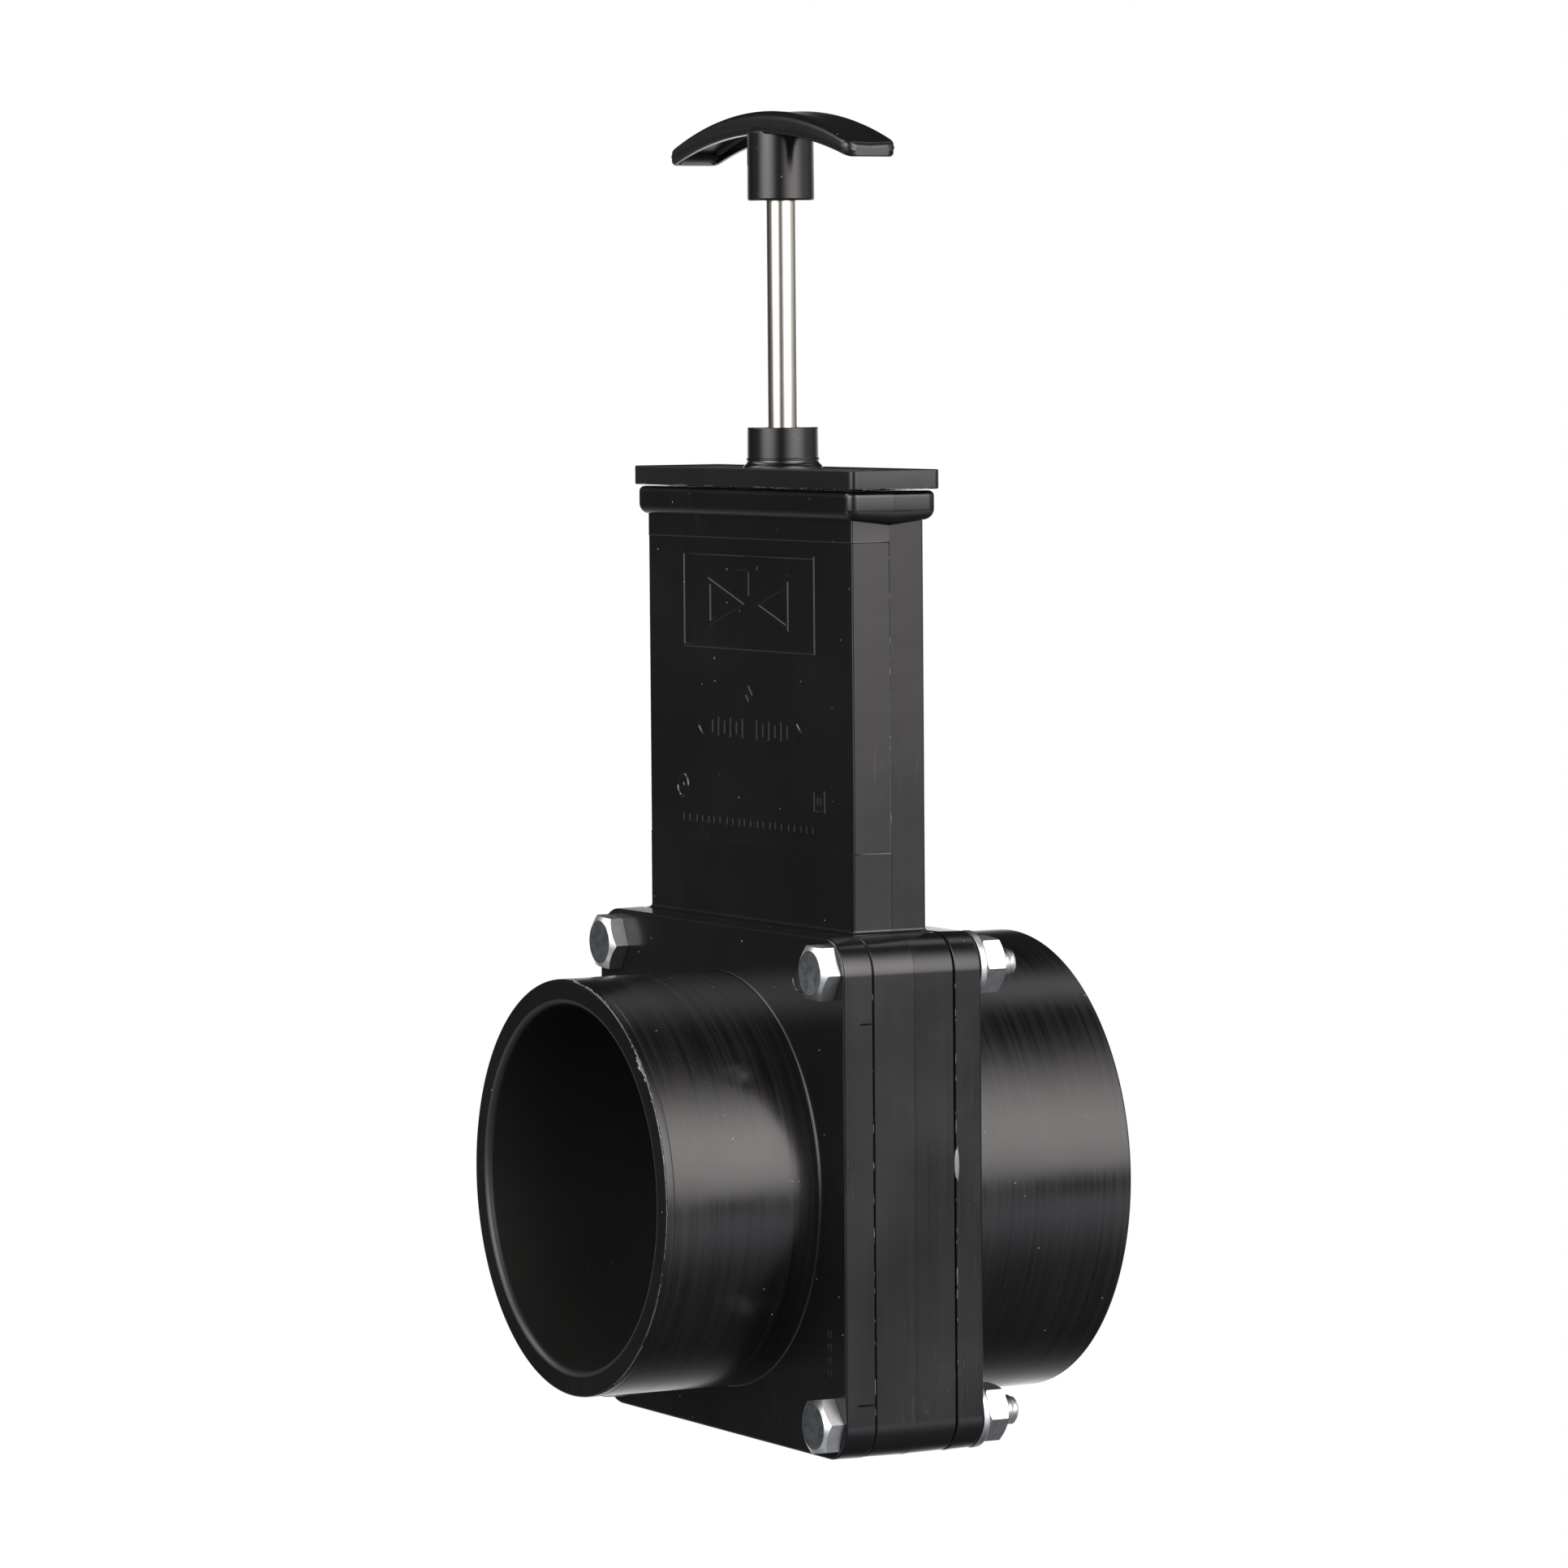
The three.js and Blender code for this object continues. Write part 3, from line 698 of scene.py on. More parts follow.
for seal_end, seal_side in (("front", -1), ("rear", 1)):
    dress(seal_ring(f"{seal_end}_seal_ring", seal_side),
          "housing", "seal_rubber", RUBBER, f"{seal_end}_seal")


BLADE_HALF = 2.5     # half the blade's thickness
ROD_SLOT = BOLT_RADIUS + 0.25
HEAD_SLOT = 4.5
SLOT_HIGH = AXIS_Z + 53.8


def gate_blade():
    """A plate with a half-round foot, a bar across its top and a block whose T-slot, open
    towards the front, holds the rod's head. The slot's straight ways are a hair narrower than
    its round seats."""
    half, depth = BLADE_HIGH.x, BLADE_HIGH.y
    bar_bottom, bar_top = AXIS_Z + 47.6, AXIS_Z + 53
    outline = arc_points((0, AXIS_Z), half, 180, 360, 64)
    outline += [(half, bar_top - 1), (-half, bar_top - 1)]
    blade = solid("gate_blade_plate",
                  [[(x, y, z) for x, z in outline] for y in (BLADE_HALF, -BLADE_HALF)])
    bar_half = half - 0.15
    bar = box_piece("bar", (-bar_half, -depth, bar_bottom), (bar_half, depth, bar_top))
    block = box_piece("block", (-14, 0.15 - depth, bar_bottom + 1),
                      (14, depth - 0.15, BLADE_HIGH.z))
    for part in (blade, bar, block):
        bevel(part, 0.5)
    combine(blade, [bar, block], "UNION")
    cutters = []
    for radius, low, high in ((HEAD_SLOT, ROD_LOW.z - 0.3, SLOT_HIGH),
                              (ROD_SLOT, SLOT_HIGH - 1, BLADE_HIGH.z + 1)):
        way = radius - 0.05
        cutters.append(stepped_post("seat", [(radius, low), (radius, high)], 48))
        cutters.append(box_piece("way", (-way, -9, low), (way, 0, high)))
    combine(blade, cutters, "DIFFERENCE")
    return smooth_edges(blade)


dress(gate_blade(), "gate", "blade_plastic", BLADE, "gate_blade")


# ------ cap, O-ring and bush

BOSS_RADIUS = 7.7
GLAND_RADIUS = 6.3
GLAND_TOP = AXIS_Z + 157
CAP_DISH = 0.35      # the plate's top is sunk a little inside its edges


def bonnet_cap():
    low, high = CAP_LOW.z, CAP_PLATE_TOP
    stations = [(low + 0.25 * run, 0.25 * inset) for run, inset in quarter(3)]
    stations += [(high - 0.3 * inset, 0.3 * run) for run, inset in quarter(3)]
    stations += [(high, 0.7), (high - CAP_DISH, 1.2)]
    loops = []
    for z, inset in stations:
        radius = max(0.3, 1.5 - inset)
        outline = rounded_rectangle(CAP_HIGH.x - inset, CAP_HIGH.y - inset, radius, 8)
        loops.append([(x, y, z) for x, y in outline])
    cap = solid("bonnet_cap_plate", loops)
    boss = [(0.5, low + 1), (BOSS_RADIUS + 0.9, low + 1), (BOSS_RADIUS + 0.9, high)]
    boss += arc_points((BOSS_RADIUS + 1.1, high + 1.5), 1.1, 245, 180, 6)
    boss += [(BOSS_RADIUS + 0.22, high + 1.6), (BOSS_RADIUS + 0.22, high + 1.85),
             (BOSS_RADIUS, high + 2.05)]
    boss += arc_points((BOSS_RADIUS - 0.35, CAP_HIGH.z - 0.3), 0.3, 0, 90, 4)
    boss += [(0.5, CAP_HIGH.z)]
    combine(cap, [ring_piece("boss", turn_about_rod(boss, 96))], "UNION")
    guide = [(0.2, low - 1), (GLAND_RADIUS, low - 1), (GLAND_RADIUS, GLAND_TOP),
             (BAR_HOLE, GLAND_TOP), (BAR_HOLE, CAP_HIGH.z - 0.4),
             (BAR_HOLE + 0.5, CAP_HIGH.z + 0.1), (BAR_HOLE + 0.5, CAP_HIGH.z + 1),
             (0.2, CAP_HIGH.z + 1)]
    combine(cap, [stepped_post("guide", guide, 64)], "DIFFERENCE")
    return smooth_edges(cap)


def cap_finish(centre):
    """Boss 1, front edge 2, the plate's matt top 3."""
    if centre.z > CAP_PLATE_TOP + 0.2:
        return 1
    if centre.z > CAP_PLATE_TOP - CAP_DISH - 0.05:
        return 3
    return 2 if centre.y < CAP_LOW.y + 0.2 else 0


cap_piece = dress(bonnet_cap(), "housing", "black_abs", ABS_FLAT, "bonnet_cap")
paint(cap_piece, (ABS_UPRIGHT, ABS_SATIN, ABS_MATT), cap_finish)


def rod_seal():
    low, high = box_mm("rod_oring")
    radius = (high.z - low.z) / 2
    ring = high.x - radius
    section = arc_points((ring, (low.z + high.z) / 2), radius, 0, 360, 24)[:-1]
    return ring_piece("rod_oring_ring", turn_about_rod(section, 64))


def rod_bush():
    low, high = box_mm("oring_bush")
    outer = GLAND_RADIUS - 0.1
    profile = rounded(rectangle(BAR_HOLE, low.z, outer, high.z), [0.4, 0.4, 0.2, 0.2], 3)
    return smooth_edges(ring_piece("oring_bush_ring", turn_about_rod(profile, 64)))


dress(rod_seal(), "housing", "seal_rubber", RUBBER, "rod_oring")
dress(rod_bush(), "housing", "blade_plastic", BLADE, "oring_bush")


# ------ rod and handle

def pull_rod():
    head_low, head_high, top = ROD_LOW.z, AXIS_Z + 53.5, ROD_HIGH.z
    outline = [(0.3, head_low), (ROD_HIGH.x, head_low), (ROD_HIGH.x, head_high),
               (BOLT_RADIUS, head_high), (BOLT_RADIUS, top), (0.3, top)]
    profile = rounded(outline, [0, 0.4, 0.3, 0.3, 0.5, 0], 4)
    return smooth_edges(ring_piece("stainless_rod", turn_about_rod(profile, 64)))


dress(pull_rod(), "stem", "stainless_steel", STAINLESS, "pull_rod")

# The grip is the handle's bar. Its top and its underside are arcs that fall towards the ends.
GRIP_HALF = HANDLE_HIGH.x
GRIP_HALF_WIDTH = 6.4
GRIP_CREST = HANDLE_HIGH.z
GRIP_UNDER = AXIS_Z + 223.4
TOP_DROP = 7.8
UNDER_DROP = 6.0
PLAN_ROUND = 2.5
END_ROUND = 1.0
GRIP_HUB_RADIUS = 7.25
GRIP_WALL = 1.6
RECESS_HALF = GRIP_HALF - GRIP_WALL
RECESS_ROUND = 1.2


def arc_fall(x, drop):
    """How far an arc that falls by drop over the half length has fallen at x."""
    radius = (GRIP_HALF ** 2 + drop ** 2) / (2 * drop)
    return radius - math.sqrt(radius ** 2 - x ** 2)


def rounding(x, limit, radius):
    """How far a quarter round before the limit has pulled in at x."""
    past = max(0.0, abs(x) - (limit - radius)) / radius
    return radius * (1 - math.sqrt(max(0.0, 1 - past ** 2)))


def handle_section(x):
    """Top shoulders well rounded in the middle and sharper at the ends, with a faint hollow
    between them, and a fine mould line just above the lower edge."""
    half = GRIP_HALF_WIDTH - rounding(x, GRIP_HALF, PLAN_ROUND)
    inset = rounding(x, GRIP_HALF, END_ROUND)
    top = GRIP_CREST - arc_fall(x, TOP_DROP) - inset
    under = GRIP_UNDER - arc_fall(x, UNDER_DROP) + inset * 0.5
    along = min(1.0, abs(x) / GRIP_HALF)
    ridge = under + (top - under) * (0.28 + 0.26 * along ** 2)
    shoulder = min(2.8 - 1.8 * along, (top - ridge) * 0.6)
    side = [(half - 0.18, under), (half - 0.10, ridge - 0.16), (half + 0.03, ridge - 0.04),
            (half + 0.03, ridge + 0.04), (half - 0.10, ridge + 0.16), (half - 0.30, top)]
    corners = mirrored(side)
    corners.insert(len(side), (0, top - 0.22))
    side_radii = [min(0.4 + 0.5 * along, (ridge - under) * 0.5), 0, 0, 0, 0, shoulder]
    radii = side_radii + [9] + side_radii[::-1]
    return [(x, y, z) for y, z in rounded(corners, radii, 6)]


def recess_section(x):
    half = GRIP_HALF_WIDTH - GRIP_WALL - rounding(x, RECESS_HALF, 0.9)
    ceiling = GRIP_CREST - GRIP_WALL - arc_fall(x, TOP_DROP)
    ceiling -= rounding(x, RECESS_HALF, RECESS_ROUND)
    corners = rectangle(-half, HANDLE_LOW.z, half, ceiling)
    return [(x, y, z) for y, z in rounded(corners, [0.1, 0.1, 1.1, 1.1], 5)]


def handle_stations(reach, tip):
    """Stations along X, closer together over the last rounded stretch of each end."""
    flat = reach - tip
    inner = [flat * k / 28 for k in range(-28, 29)]
    tips = [flat + tip * math.sin(math.pi / 2 * k / 12) for k in range(1, 13)]
    return [-t for t in reversed(tips)] + inner + tips


def pull_handle():
    bar = solid("t_handle", [
        handle_section(x) for x in handle_stations(GRIP_HALF, PLAN_ROUND)])
    recess = solid("recess", [
        recess_section(x) for x in handle_stations(RECESS_HALF, RECESS_ROUND)])
    combine(bar, [recess], "DIFFERENCE")
    low, seat = HANDLE_LOW.z, GRIP_UNDER + 0.6
    ceiling = GRIP_CREST - GRIP_WALL + 0.3
    neck = GRIP_HALF_WIDTH - 0.5
    outline = [(0.3, low), (GRIP_HUB_RADIUS, low), (GRIP_HUB_RADIUS - 0.1, seat),
               (neck, seat), (neck, ceiling), (0.3, ceiling)]
    hub = ring_piece("hub", turn_about_rod(rounded(outline, [0, 0.5, 0.3, 0, 0, 0], 4), 96))
    combine(bar, [hub], "UNION")
    bore = stepped_post("bore", [(BAR_HOLE, low - 1), (BAR_HOLE, ROD_HIGH.z + 0.3)], 48)
    combine(bar, [bore], "DIFFERENCE")
    return smooth_edges(bar)


def handle_finish(centre):
    """Hub 1, long side faces 2."""
    if centre.z < GRIP_UNDER and math.hypot(centre.x, centre.y) < GRIP_HUB_RADIUS + 0.1:
        return 1
    return 2 if abs(centre.y) > GRIP_HALF_WIDTH - 0.45 else 0


handle_piece = dress(pull_handle(), "stem", "black_abs", ABS_FLAT, "pull_handle")
paint(handle_piece, (ABS_UPRIGHT, ABS_SATIN), handle_finish)


# ------ bolts, washers and nuts

ACROSS_FLATS = 7 / 16 * INCH
HEAD_HEIGHT = 4.0
HEAD_DISC = 4.65     # radius of the flat disc on a head
NUT_DISC = 4.9
BOLT_LENGTH = 1.75 * INCH
HEAD_FACE_Y = SPIGOT_FLANGE_Y - CLEAR - HEAD_HEIGHT
NUT_HEIGHT = 5.6
WASHER_THICKNESS = 1.6
WASHER_RADIUS = 7.3
THREAD_PITCH = INCH / 20
THREAD_DEPTH = 0.62
HEX_STEPS = 12       # points along each of the six sides
BOLT_TURNS = (-5, -2, 7, 9)     # degrees
NUT_TURNS = (12, -5, -8, -7)


def hex_loop(centre, y, turn, limit):
    """A hexagon in the X-Z plane, flats above and below at turn 0, held inside a radius."""
    side = math.pi / 3
    loop = []
    for a in turns(6 * HEX_STEPS):
        within = (a + math.pi / 6 + side / 2) % side - side / 2
        r = min(ACROSS_FLATS / 2 / math.cos(within), limit)
        loop += circle_loop(centre, y, r, [a + turn])
    return loop


def chamfer_loops(centre, y_face, outward, turn, disc):
    """Loops from the flat disc down a 30 degree cone to the hexagon's sides."""
    loops = []
    for past in (0, 0.12, 0.5, 0.9, 1.3, 2.2):
        loop = []
        for x, _, z in hex_loop(centre, 0, turn, disc + past):
            reach = math.hypot(x - centre[0], z - centre[1])
            fall = max(0.0, reach - disc) * math.tan(math.radians(30))
            loop.append((x, y_face - outward * fall, z))
        loops.append(loop)
    return loops


def thread_radius(turn_angle, along):
    """Radius of a rolled thread at an angle and a distance along the bolt."""
    phase = (along / THREAD_PITCH - turn_angle / (2 * math.pi)) % 1.0
    wave = abs(2 * phase - 1)
    return BOLT_RADIUS - THREAD_DEPTH * max(0.0, min(1.0, wave * 1.3 - 0.12))


def hex_bolt(index, centre, turn):
    seat = HEAD_FACE_Y + HEAD_HEIGHT
    tip = seat + BOLT_LENGTH
    angles = turns(6 * HEX_STEPS, turn)
    loops = chamfer_loops(centre, HEAD_FACE_Y, -1, turn, HEAD_DISC)
    loops.append(hex_loop(centre, seat, turn, ACROSS_FLATS))
    thread_start = HUB_FLANGE_Y - 2
    loops += [circle_loop(centre, y, BOLT_RADIUS, angles)
              for y in (seat, thread_start - THREAD_PITCH)]
    steps = int((tip - thread_start) / (THREAD_PITCH / 10))
    for k in range(steps + 1):
        y = thread_start + (tip - thread_start) * k / steps
        fade = min(1.0, (y - thread_start) / THREAD_PITCH)
        taper = max(0.0, y - (tip - 0.6)) * 0.9
        loop = []
        for a in angles:
            r = BOLT_RADIUS - (BOLT_RADIUS - thread_radius(a, y)) * fade
            loop += circle_loop(centre, y, min(r, BOLT_RADIUS - taper), [a])
        loops.append(loop)
    return clean(solid(f"zinc_bolt_{index}", loops), HEX_SHARP)


def hex_nut(index, centre, turn):
    y0 = HUB_FLANGE_Y + WASHER_THICKNESS + 2 * CLEAR
    y1 = y0 + NUT_HEIGHT
    bore = BOLT_RADIUS + 0.05
    angles = turns(6 * HEX_STEPS, turn)
    loops = chamfer_loops(centre, y0, -1, turn, NUT_DISC)
    loops += chamfer_loops(centre, y1, 1, turn, NUT_DISC)[::-1]
    loops += [circle_loop(centre, y, r, angles) for y, r in
              ((y1, bore + 0.5), (y1 - 0.5, bore), (y0 + 0.5, bore), (y0, bore + 0.5))]
    return clean(ring_piece(f"zinc_nut_{index}", loops), HEX_SHARP)


def flat_washer(index, centre):
    y0 = HUB_FLANGE_Y + CLEAR
    inner = BOLT_RADIUS + 0.25
    section = rectangle(inner, y0, WASHER_RADIUS, y0 + WASHER_THICKNESS)
    profile = rounded(section, [0.1, 0.2, 0.45, 0.15], 4)
    loops = [[circle_loop(centre, y, r, [a])[0] for r, y in profile] for a in turns(72)]
    return smooth_edges(ring_piece(f"zinc_washer_{index}", loops))


for i, bolt_centre in enumerate(BOLT_CENTRES):
    bolt = hex_bolt(i + 1, bolt_centre, math.radians(BOLT_TURNS[i]))
    nut = hex_nut(i + 1, bolt_centre, math.radians(NUT_TURNS[i]))
    washer = flat_washer(i + 1, bolt_centre)
    for node, piece in (("hex_bolt", bolt), ("hex_nut", nut), ("flat_washer", washer)):
        dress(piece, "housing", "zinc_steel", ZINC, f"{node}_{i + 1}")
    # The flat disc on each bolt head gets the darker zinc copy, a painted dark reflection.
    paint(bolt, (ZINC_PAINTED_DARK_REFLECTION,), lambda c: int(c.y < HEAD_FACE_Y + 0.05))


# ------ raised marks

def offset_outline(points, distance):
    """A closed convex outline moved inwards, with mitred corners."""
    centre = sum((Vector(p) for p in points), Vector((0, 0))) / len(points)
    moved = []
    for i, point in enumerate(points):
        p = Vector(point)
        before = (p - Vector(points[i - 1])).normalized()
        after = (Vector(points[(i + 1) % len(points)]) - p).normalized()
        inwards = (after - before).normalized()
        if inwards.dot(centre - p) < 0:
            inwards.negate()
        half = math.acos(max(-1, min(1, -before.dot(after)))) / 2
        moved.append(p + inwards * (distance / math.sin(half)))
    return moved


MARK_SINK = 0.05     # how far a mark's foot reaches into the face it stands on
LINE_DRAFT = 0.3     # how far a wide line's sides lean in between foot and top
BLOCK_DRAFT = 0.25   # the same on a filled mark


class Marks:
    """Low raised shapes on a face, gathered into one mesh. The place function turns
    [across, up, out] into a point."""

    def __init__(self, place, height):
        self.place = place
        self.height = height
        self.vertices = []
        self.faces = []

    def add(self, loops, ring=False):
        vertices, faces = skin(loops, ring)
        first = len(self.vertices)
        self.vertices += [self.place(*v) for v in vertices]
        self.faces += [tuple(first + k for k in face) for face in faces]

    def stroke(self, points, width):
        """A closed line of one width."""
        draft = min(LINE_DRAFT, width * 0.4)
        levels = ((0, -MARK_SINK), (draft, self.height),
                  (width - draft, self.height), (width, -MARK_SINK))
        rails = [[(p.x, p.y, out) for p in offset_outline(points, inset)]
                 for inset, out in levels]
        self.add(list(zip(*rails)), ring=True)

    def block(self, points):
        """A filled convex shape."""
        top = offset_outline(points, BLOCK_DRAFT)
        self.add([[(x, z, -MARK_SINK) for x, z in points],
                  [(p.x, p.y, self.height) for p in top]])

    def bar(self, *corners):
        self.block(rectangle(*corners))

    def piece(self, name):
        return clean(new_piece(name, self.vertices, self.faces))


def circle_outline(x, z, radius, steps=32):
    return [(x + radius * math.cos(a), z + radius * math.sin(a)) for a in turns(steps)]


def chevron(marks, x, z, size, side):
    """Two slanting bars, 1 mm wide, that meet in a point at x."""
    end = x - size * side
    for up in (1, -1):
        foot, tip = z + 0.03 * up, z + size * up
        marks.block([(x, foot), (end, tip), (end - side, tip), (x - side, foot)])


def neck_marks():
    """Plain marks in place of the maker's lettering: a framed valve symbol, a two-way arrow
    for the pull, a row of dashes, a ring and a small box."""
    marks = Marks(lambda x, z, out: (x, -NECK_FRONT + 0.05 - out, AXIS_Z + z), 0.22)
    marks.stroke(rectangle(-29.5, 113, 29.5, 134), 0.9)
    for side in (-1, 1):
        marks.stroke([(18 * side, 117.5), (18 * side, 128.5), (1.2 * side, 123)], 1.3)
        chevron(marks, side * 23.5, 96.2, 2.1, side)
        for step in range(6):
            x, tall = side * (3.2 + 2.7 * step), 2.2 - 0.7 * (step % 2)
            marks.bar(x - 0.55, 96.2 - tall, x + 0.55, 96.2 + tall)
    marks.bar(-0.6, 124.6, 0.6, 130.15)
    marks.bar(-4.5, 130.2, 4.5, 131.4)
    marks.stroke([(0, 101.3), (1.9, 103.5), (0, 105.7), (-1.9, 103.5)], 0.7)
    marks.stroke(circle_outline(-30.3, 82.7, 2.8), 0.7)
    marks.block(circle_outline(-30.3, 82.7, 0.8, 12))
    marks.stroke(rectangle(28.2, 79.6, 33.4, 84.6), 0.65)
    for x in (29.8, 31.2):
        marks.bar(x, 81.2, x + 0.6, 83.1)
    x = -30.7
    for step in range(22):
        length = 1.1 + 0.9 * (step * 7 % 5) / 4
        marks.bar(x, 75, x + length, 76.8)
        x += length + 1.2
    return marks.piece("plain_relief_marks")


def flange_marks():
    """Four small mould marks low on the front flange and the ring of an ejector pin."""
    marks = Marks(lambda x, z, out: (x, SPIGOT_FLANGE_Y - out, AXIS_Z + z), 0.11)
    for step in range(4):
        z = -28.2 - 2.75 * step
        marks.stroke(rectangle(47.1, z - 0.9, 48.7, z + 0.9), 0.45)
    marks.stroke(circle_outline(36, 45.6, 3.1), 0.45)
    return marks.piece("flange_mould_marks")


def side_marks():
    """Two short raised lines on the edge of the front flange."""
    marks = Marks(lambda y, z, out: (HALF_SQUARE - 0.05 + out, y, AXIS_Z + z), 0.3)
    marks.bar(-13.2, 36.8, -10.3, 37.3)
    marks.bar(-14.3, -43.1, -10.2, -42.6)
    return marks.piece("flange_edge_lines")


for marks_piece in (neck_marks(), flange_marks(), side_marks()):
    dress(marks_piece, "housing", "black_abs", ABS_FLAT)


# ------ flash and burrs

def burr_strip(name, path, height, cover, width):
    """An irregular thin ridge of moulding flash along a path of [point, outward] pairs. More
    cover makes it stand up over more of the path; elsewhere it sinks out of sight."""
    loops = []
    for i, (point, outward) in enumerate(path):
        before, after = path[max(i - 1, 0)][0], path[min(i + 1, len(path) - 1)][0]
        side = (after - before).cross(outward).normalized()
        coarse = noise.noise(point * 0.22) + 0.6 * noise.noise(point * 1.3)
        lift = max(-0.35, height * min(1.0, coarse + cover))
        sway = width * noise.noise(point * 0.9 + outward * 7)
        tip = point + outward * lift + side * sway
        foot = point - outward * 0.6
        loops.append([foot + side * width, tip + side * 0.03,
                      tip - side * 0.03, foot - side * width])
    return clean(solid(name, loops))


def rim_path(inset, past, start, end, outward_y, steps):
    """Points round the spigot's mouth, from one angle to another in degrees."""
    path = []
    for k in range(steps + 1):
        a = math.radians(start + (end - start) * k / steps)
        radial = Vector((math.cos(a), 0, math.sin(a)))
        point = radial * (PIPE_RADIUS - inset) + Vector((0, SPIGOT_MOUTH_Y + past, AXIS_Z))
        path.append((point, (radial + Vector((0, outward_y, 0))).normalized()))
    return path


def straight_path(start, end, outward, steps):
    start, end, outward = Vector(start), Vector(end), Vector(outward).normalized()
    return [(start.lerp(end, k / steps), outward) for k in range(steps + 1)]


def seam_path(y):
    x = HALF_SQUARE - 0.02
    return straight_path((x, y, AXIS_Z - 46), (x, y, AXIS_Z + 46), (1, 0, 0), 220)


NECK_X = NECK_HALF_WIDTH + 0.02
FOOT_X = NECK_HALF_WIDTH + 0.55
CAP_UNDER = CAP_LOW.z + 0.1

# name, path, height, cover, width
BURRS = [
    ("spigot_rim_flash", rim_path(0.2, 0.2, 12, 86, -0.6, 300), 0.60, 0.38, 0.18),
    ("spigot_rim_chips", rim_path(0.4, 0.15, 27, 56, -1.4, 190), 1.3, 0.12, 0.42),
    ("spigot_rim_flash_low", rim_path(0.15, 0.15, -75, 10, -0.6, 200), 0.12, 0.10, 0.10),
    ("front_seam_flash", seam_path(-FACE_Y - 0.1), 0.30, -0.55, 0.07),
    ("rear_seam_flash", seam_path(FACE_Y + 0.1), 0.30, -0.50, 0.07),
    ("cap_front_flash",
     straight_path((-46, CAP_LOW.y, CAP_UNDER), (46, CAP_LOW.y, CAP_UNDER),
                   (0, -1, -0.6), 320), 0.28, -0.28, 0.10),
    ("cap_side_flash",
     straight_path((CAP_HIGH.x, -8, CAP_UNDER), (CAP_HIGH.x, 8, CAP_UNDER),
                   (1, 0, -0.6), 90), 0.35, 0.1, 0.12),
    ("neck_foot_flash",
     straight_path((FOOT_X, -NECK_FRONT + 1, AXIS_Z + 51), (FOOT_X, NECK_BACK, AXIS_Z + 51),
                   (1, 0, 1), 90), 0.45, 0.05, 0.14),
    ("neck_parting_flash",
     straight_path((NECK_X, 0, AXIS_Z + 53), (NECK_X, 0, AXIS_Z + 139), (1, 0, 0), 320),
     0.14, -0.05, 0.09),
]


def seam_sliver():
    """A pale sliver lifted where the rear flange meets the body."""
    loops = []
    y, root = FACE_Y + 0.35, HALF_SQUARE - 0.2
    for k in range(13):
        t = k / 12
        swell = math.sin(math.pi * t) ** 0.8
        z = AXIS_Z + 2.5 + 8 * t
        half = 0.05 + 0.62 * swell
        crest = HALF_SQUARE - 0.03 + 0.34 * swell
        loops.append([(root, y - half, z), (crest, y - half * 0.2, z), (root, y + half, z)])
    return clean(solid("seam_sliver", loops))


for burr in [burr_strip(*values) for values in BURRS] + [seam_sliver()]:
    dress(burr, "housing", "black_abs", ABS_BURR)


# ------ studio

def add_floor():
    floor = box_piece("floor", (-4000, -4000, -3), (4000, 4000, -0.3))
    material = bpy.data.materials.new("white_floor")
    material.use_nodes = True
    material.node_tree.nodes.clear()
    nodes = Nodes(material.node_tree)
    glow = nodes.out("ShaderNodeEmission", {"Color": (1, 1, 1, 1)})
    nodes.add("ShaderNodeOutputMaterial", {"Surface": glow})
    floor.data.materials.append(material)
    floor.visible_glossy = False
    floor.visible_diffuse = False
    floor.visible_shadow = False


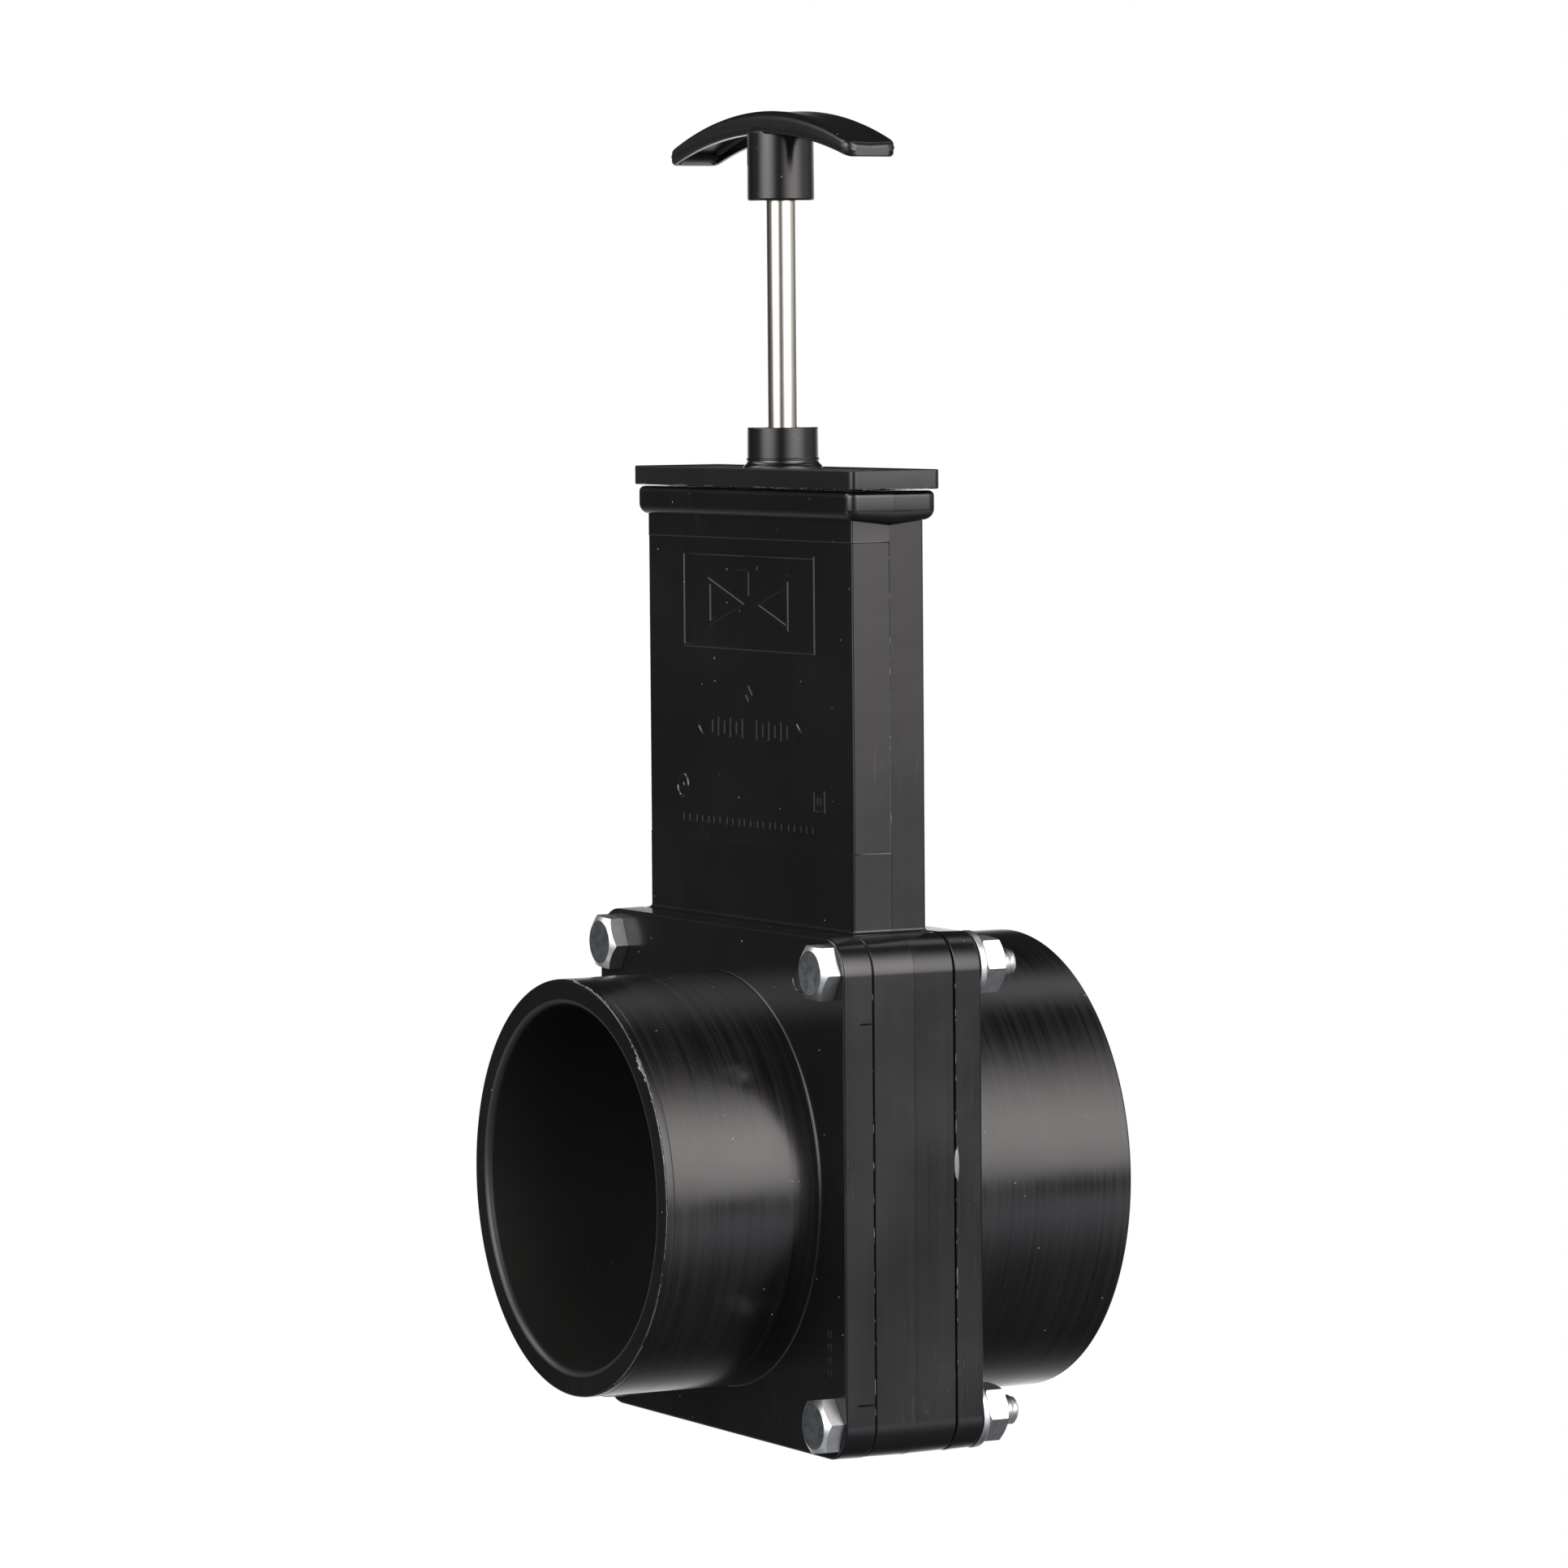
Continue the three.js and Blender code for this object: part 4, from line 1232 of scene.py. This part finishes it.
class Sky(Nodes):
    """The surroundings as the gloss sees them: soft lobes of light on a dark ground."""

    def __init__(self, tree):
        super().__init__(tree)
        place = self.add("ShaderNodeTexCoord").outputs["Generated"]
        split = self.add("ShaderNodeSeparateXYZ", {"Vector": place}).outputs
        turn = self.math("ARCTAN2", split["Y"], split["X"])
        self.azimuth = self.math("MULTIPLY", turn, 180 / math.pi)
        self.elevation = self.math("MULTIPLY", self.math("ARCSINE", split["Z"]), 180 / math.pi)
        self.total = None

    def lobe(self, azimuth, elevation, across, above, below, strength, colour, edge=None):
        """A soft-edged light; the spreads are in degrees. Below its edge it fades out."""
        m = self.math
        side = m("WRAP", m("SUBTRACT", self.azimuth, azimuth), 180, -180)
        side = m("ABSOLUTE", m("DIVIDE", side, across))
        rise = m("SUBTRACT", self.elevation, elevation)
        up = m("ADD", m("MAXIMUM", m("DIVIDE", rise, above), 0),
               m("MINIMUM", m("DIVIDE", rise, below), 0))
        square = m("ADD", m("POWER", side, 2.5), m("MULTIPLY", up, up))
        level = m("MULTIPLY", m("EXPONENT", m("MULTIPLY", square, -0.5)), strength)
        if edge:
            fade = self.out("ShaderNodeMapRange", {
                "Value": self.elevation, "From Min": edge[0], "From Max": edge[1]},
                interpolation_type="SMOOTHSTEP")
            level = m("MULTIPLY", level, fade)
        light = self.out("ShaderNodeVectorMath", {0: colour, "Scale": level}, operation="SCALE")
        if self.total is not None:
            light = self.out("ShaderNodeVectorMath", {0: self.total, 1: light}, operation="ADD")
        self.total = light


WARM = (1.0, 0.95, 0.94)
NEUTRAL = (1.0, 1.0, 1.0)
COOL = (0.93, 0.96, 1.06)

# azimuth, elevation, spread across, above and below, strength, colour, fading edge
LOBES = [
    (12, 26, 21, 22, 27, 6.0, WARM, (-7.5, 1.5)),
    (-78, 12, 19, 20, 20, 6.5, NEUTRAL, (-7, 6)),
    (55, 8, 24, 18, 14, 0.9, NEUTRAL, (-6, 3)),
    (105, 57, 12, 12, 12, 1.0, NEUTRAL),
    (145, 0, 24, 4.5, 22, 1.8, NEUTRAL),
    (28, -15, 40, 4, 11, 0.95, COOL),
    (28, -48, 60, 18, 25, 0.12, COOL),
    (-130, 44, 13, 16, 16, 4.0, NEUTRAL),
    (-110, -34, 50, 10, 30, 0.25, NEUTRAL),
    (-121, -17, 11, 6, 12, 0.9, NEUTRAL),
    (0, 90, 360, 90, 180, 0.03, NEUTRAL),
]


def add_world():
    """White all round for the camera; the lobes for gloss and for light."""
    world = bpy.data.worlds.new("studio")
    bpy.context.scene.world = world
    world.use_nodes = True
    tree = world.node_tree
    tree.nodes.clear()
    sky = Sky(tree)
    for lobe in LOBES:
        sky.lobe(*lobe)
    lights = sky.out("ShaderNodeBackground", {"Color": sky.total})
    white = sky.out("ShaderNodeBackground", {"Color": (1, 1, 1, 1)})
    camera_ray = sky.out("ShaderNodeLightPath")
    seen = sky.out("ShaderNodeMixShader", {"Fac": camera_ray, 1: lights, 2: white})
    sky.add("ShaderNodeOutputWorld", {"Surface": seen})


add_floor()
add_world()

bpy.context.scene.view_settings.view_transform = "Standard"
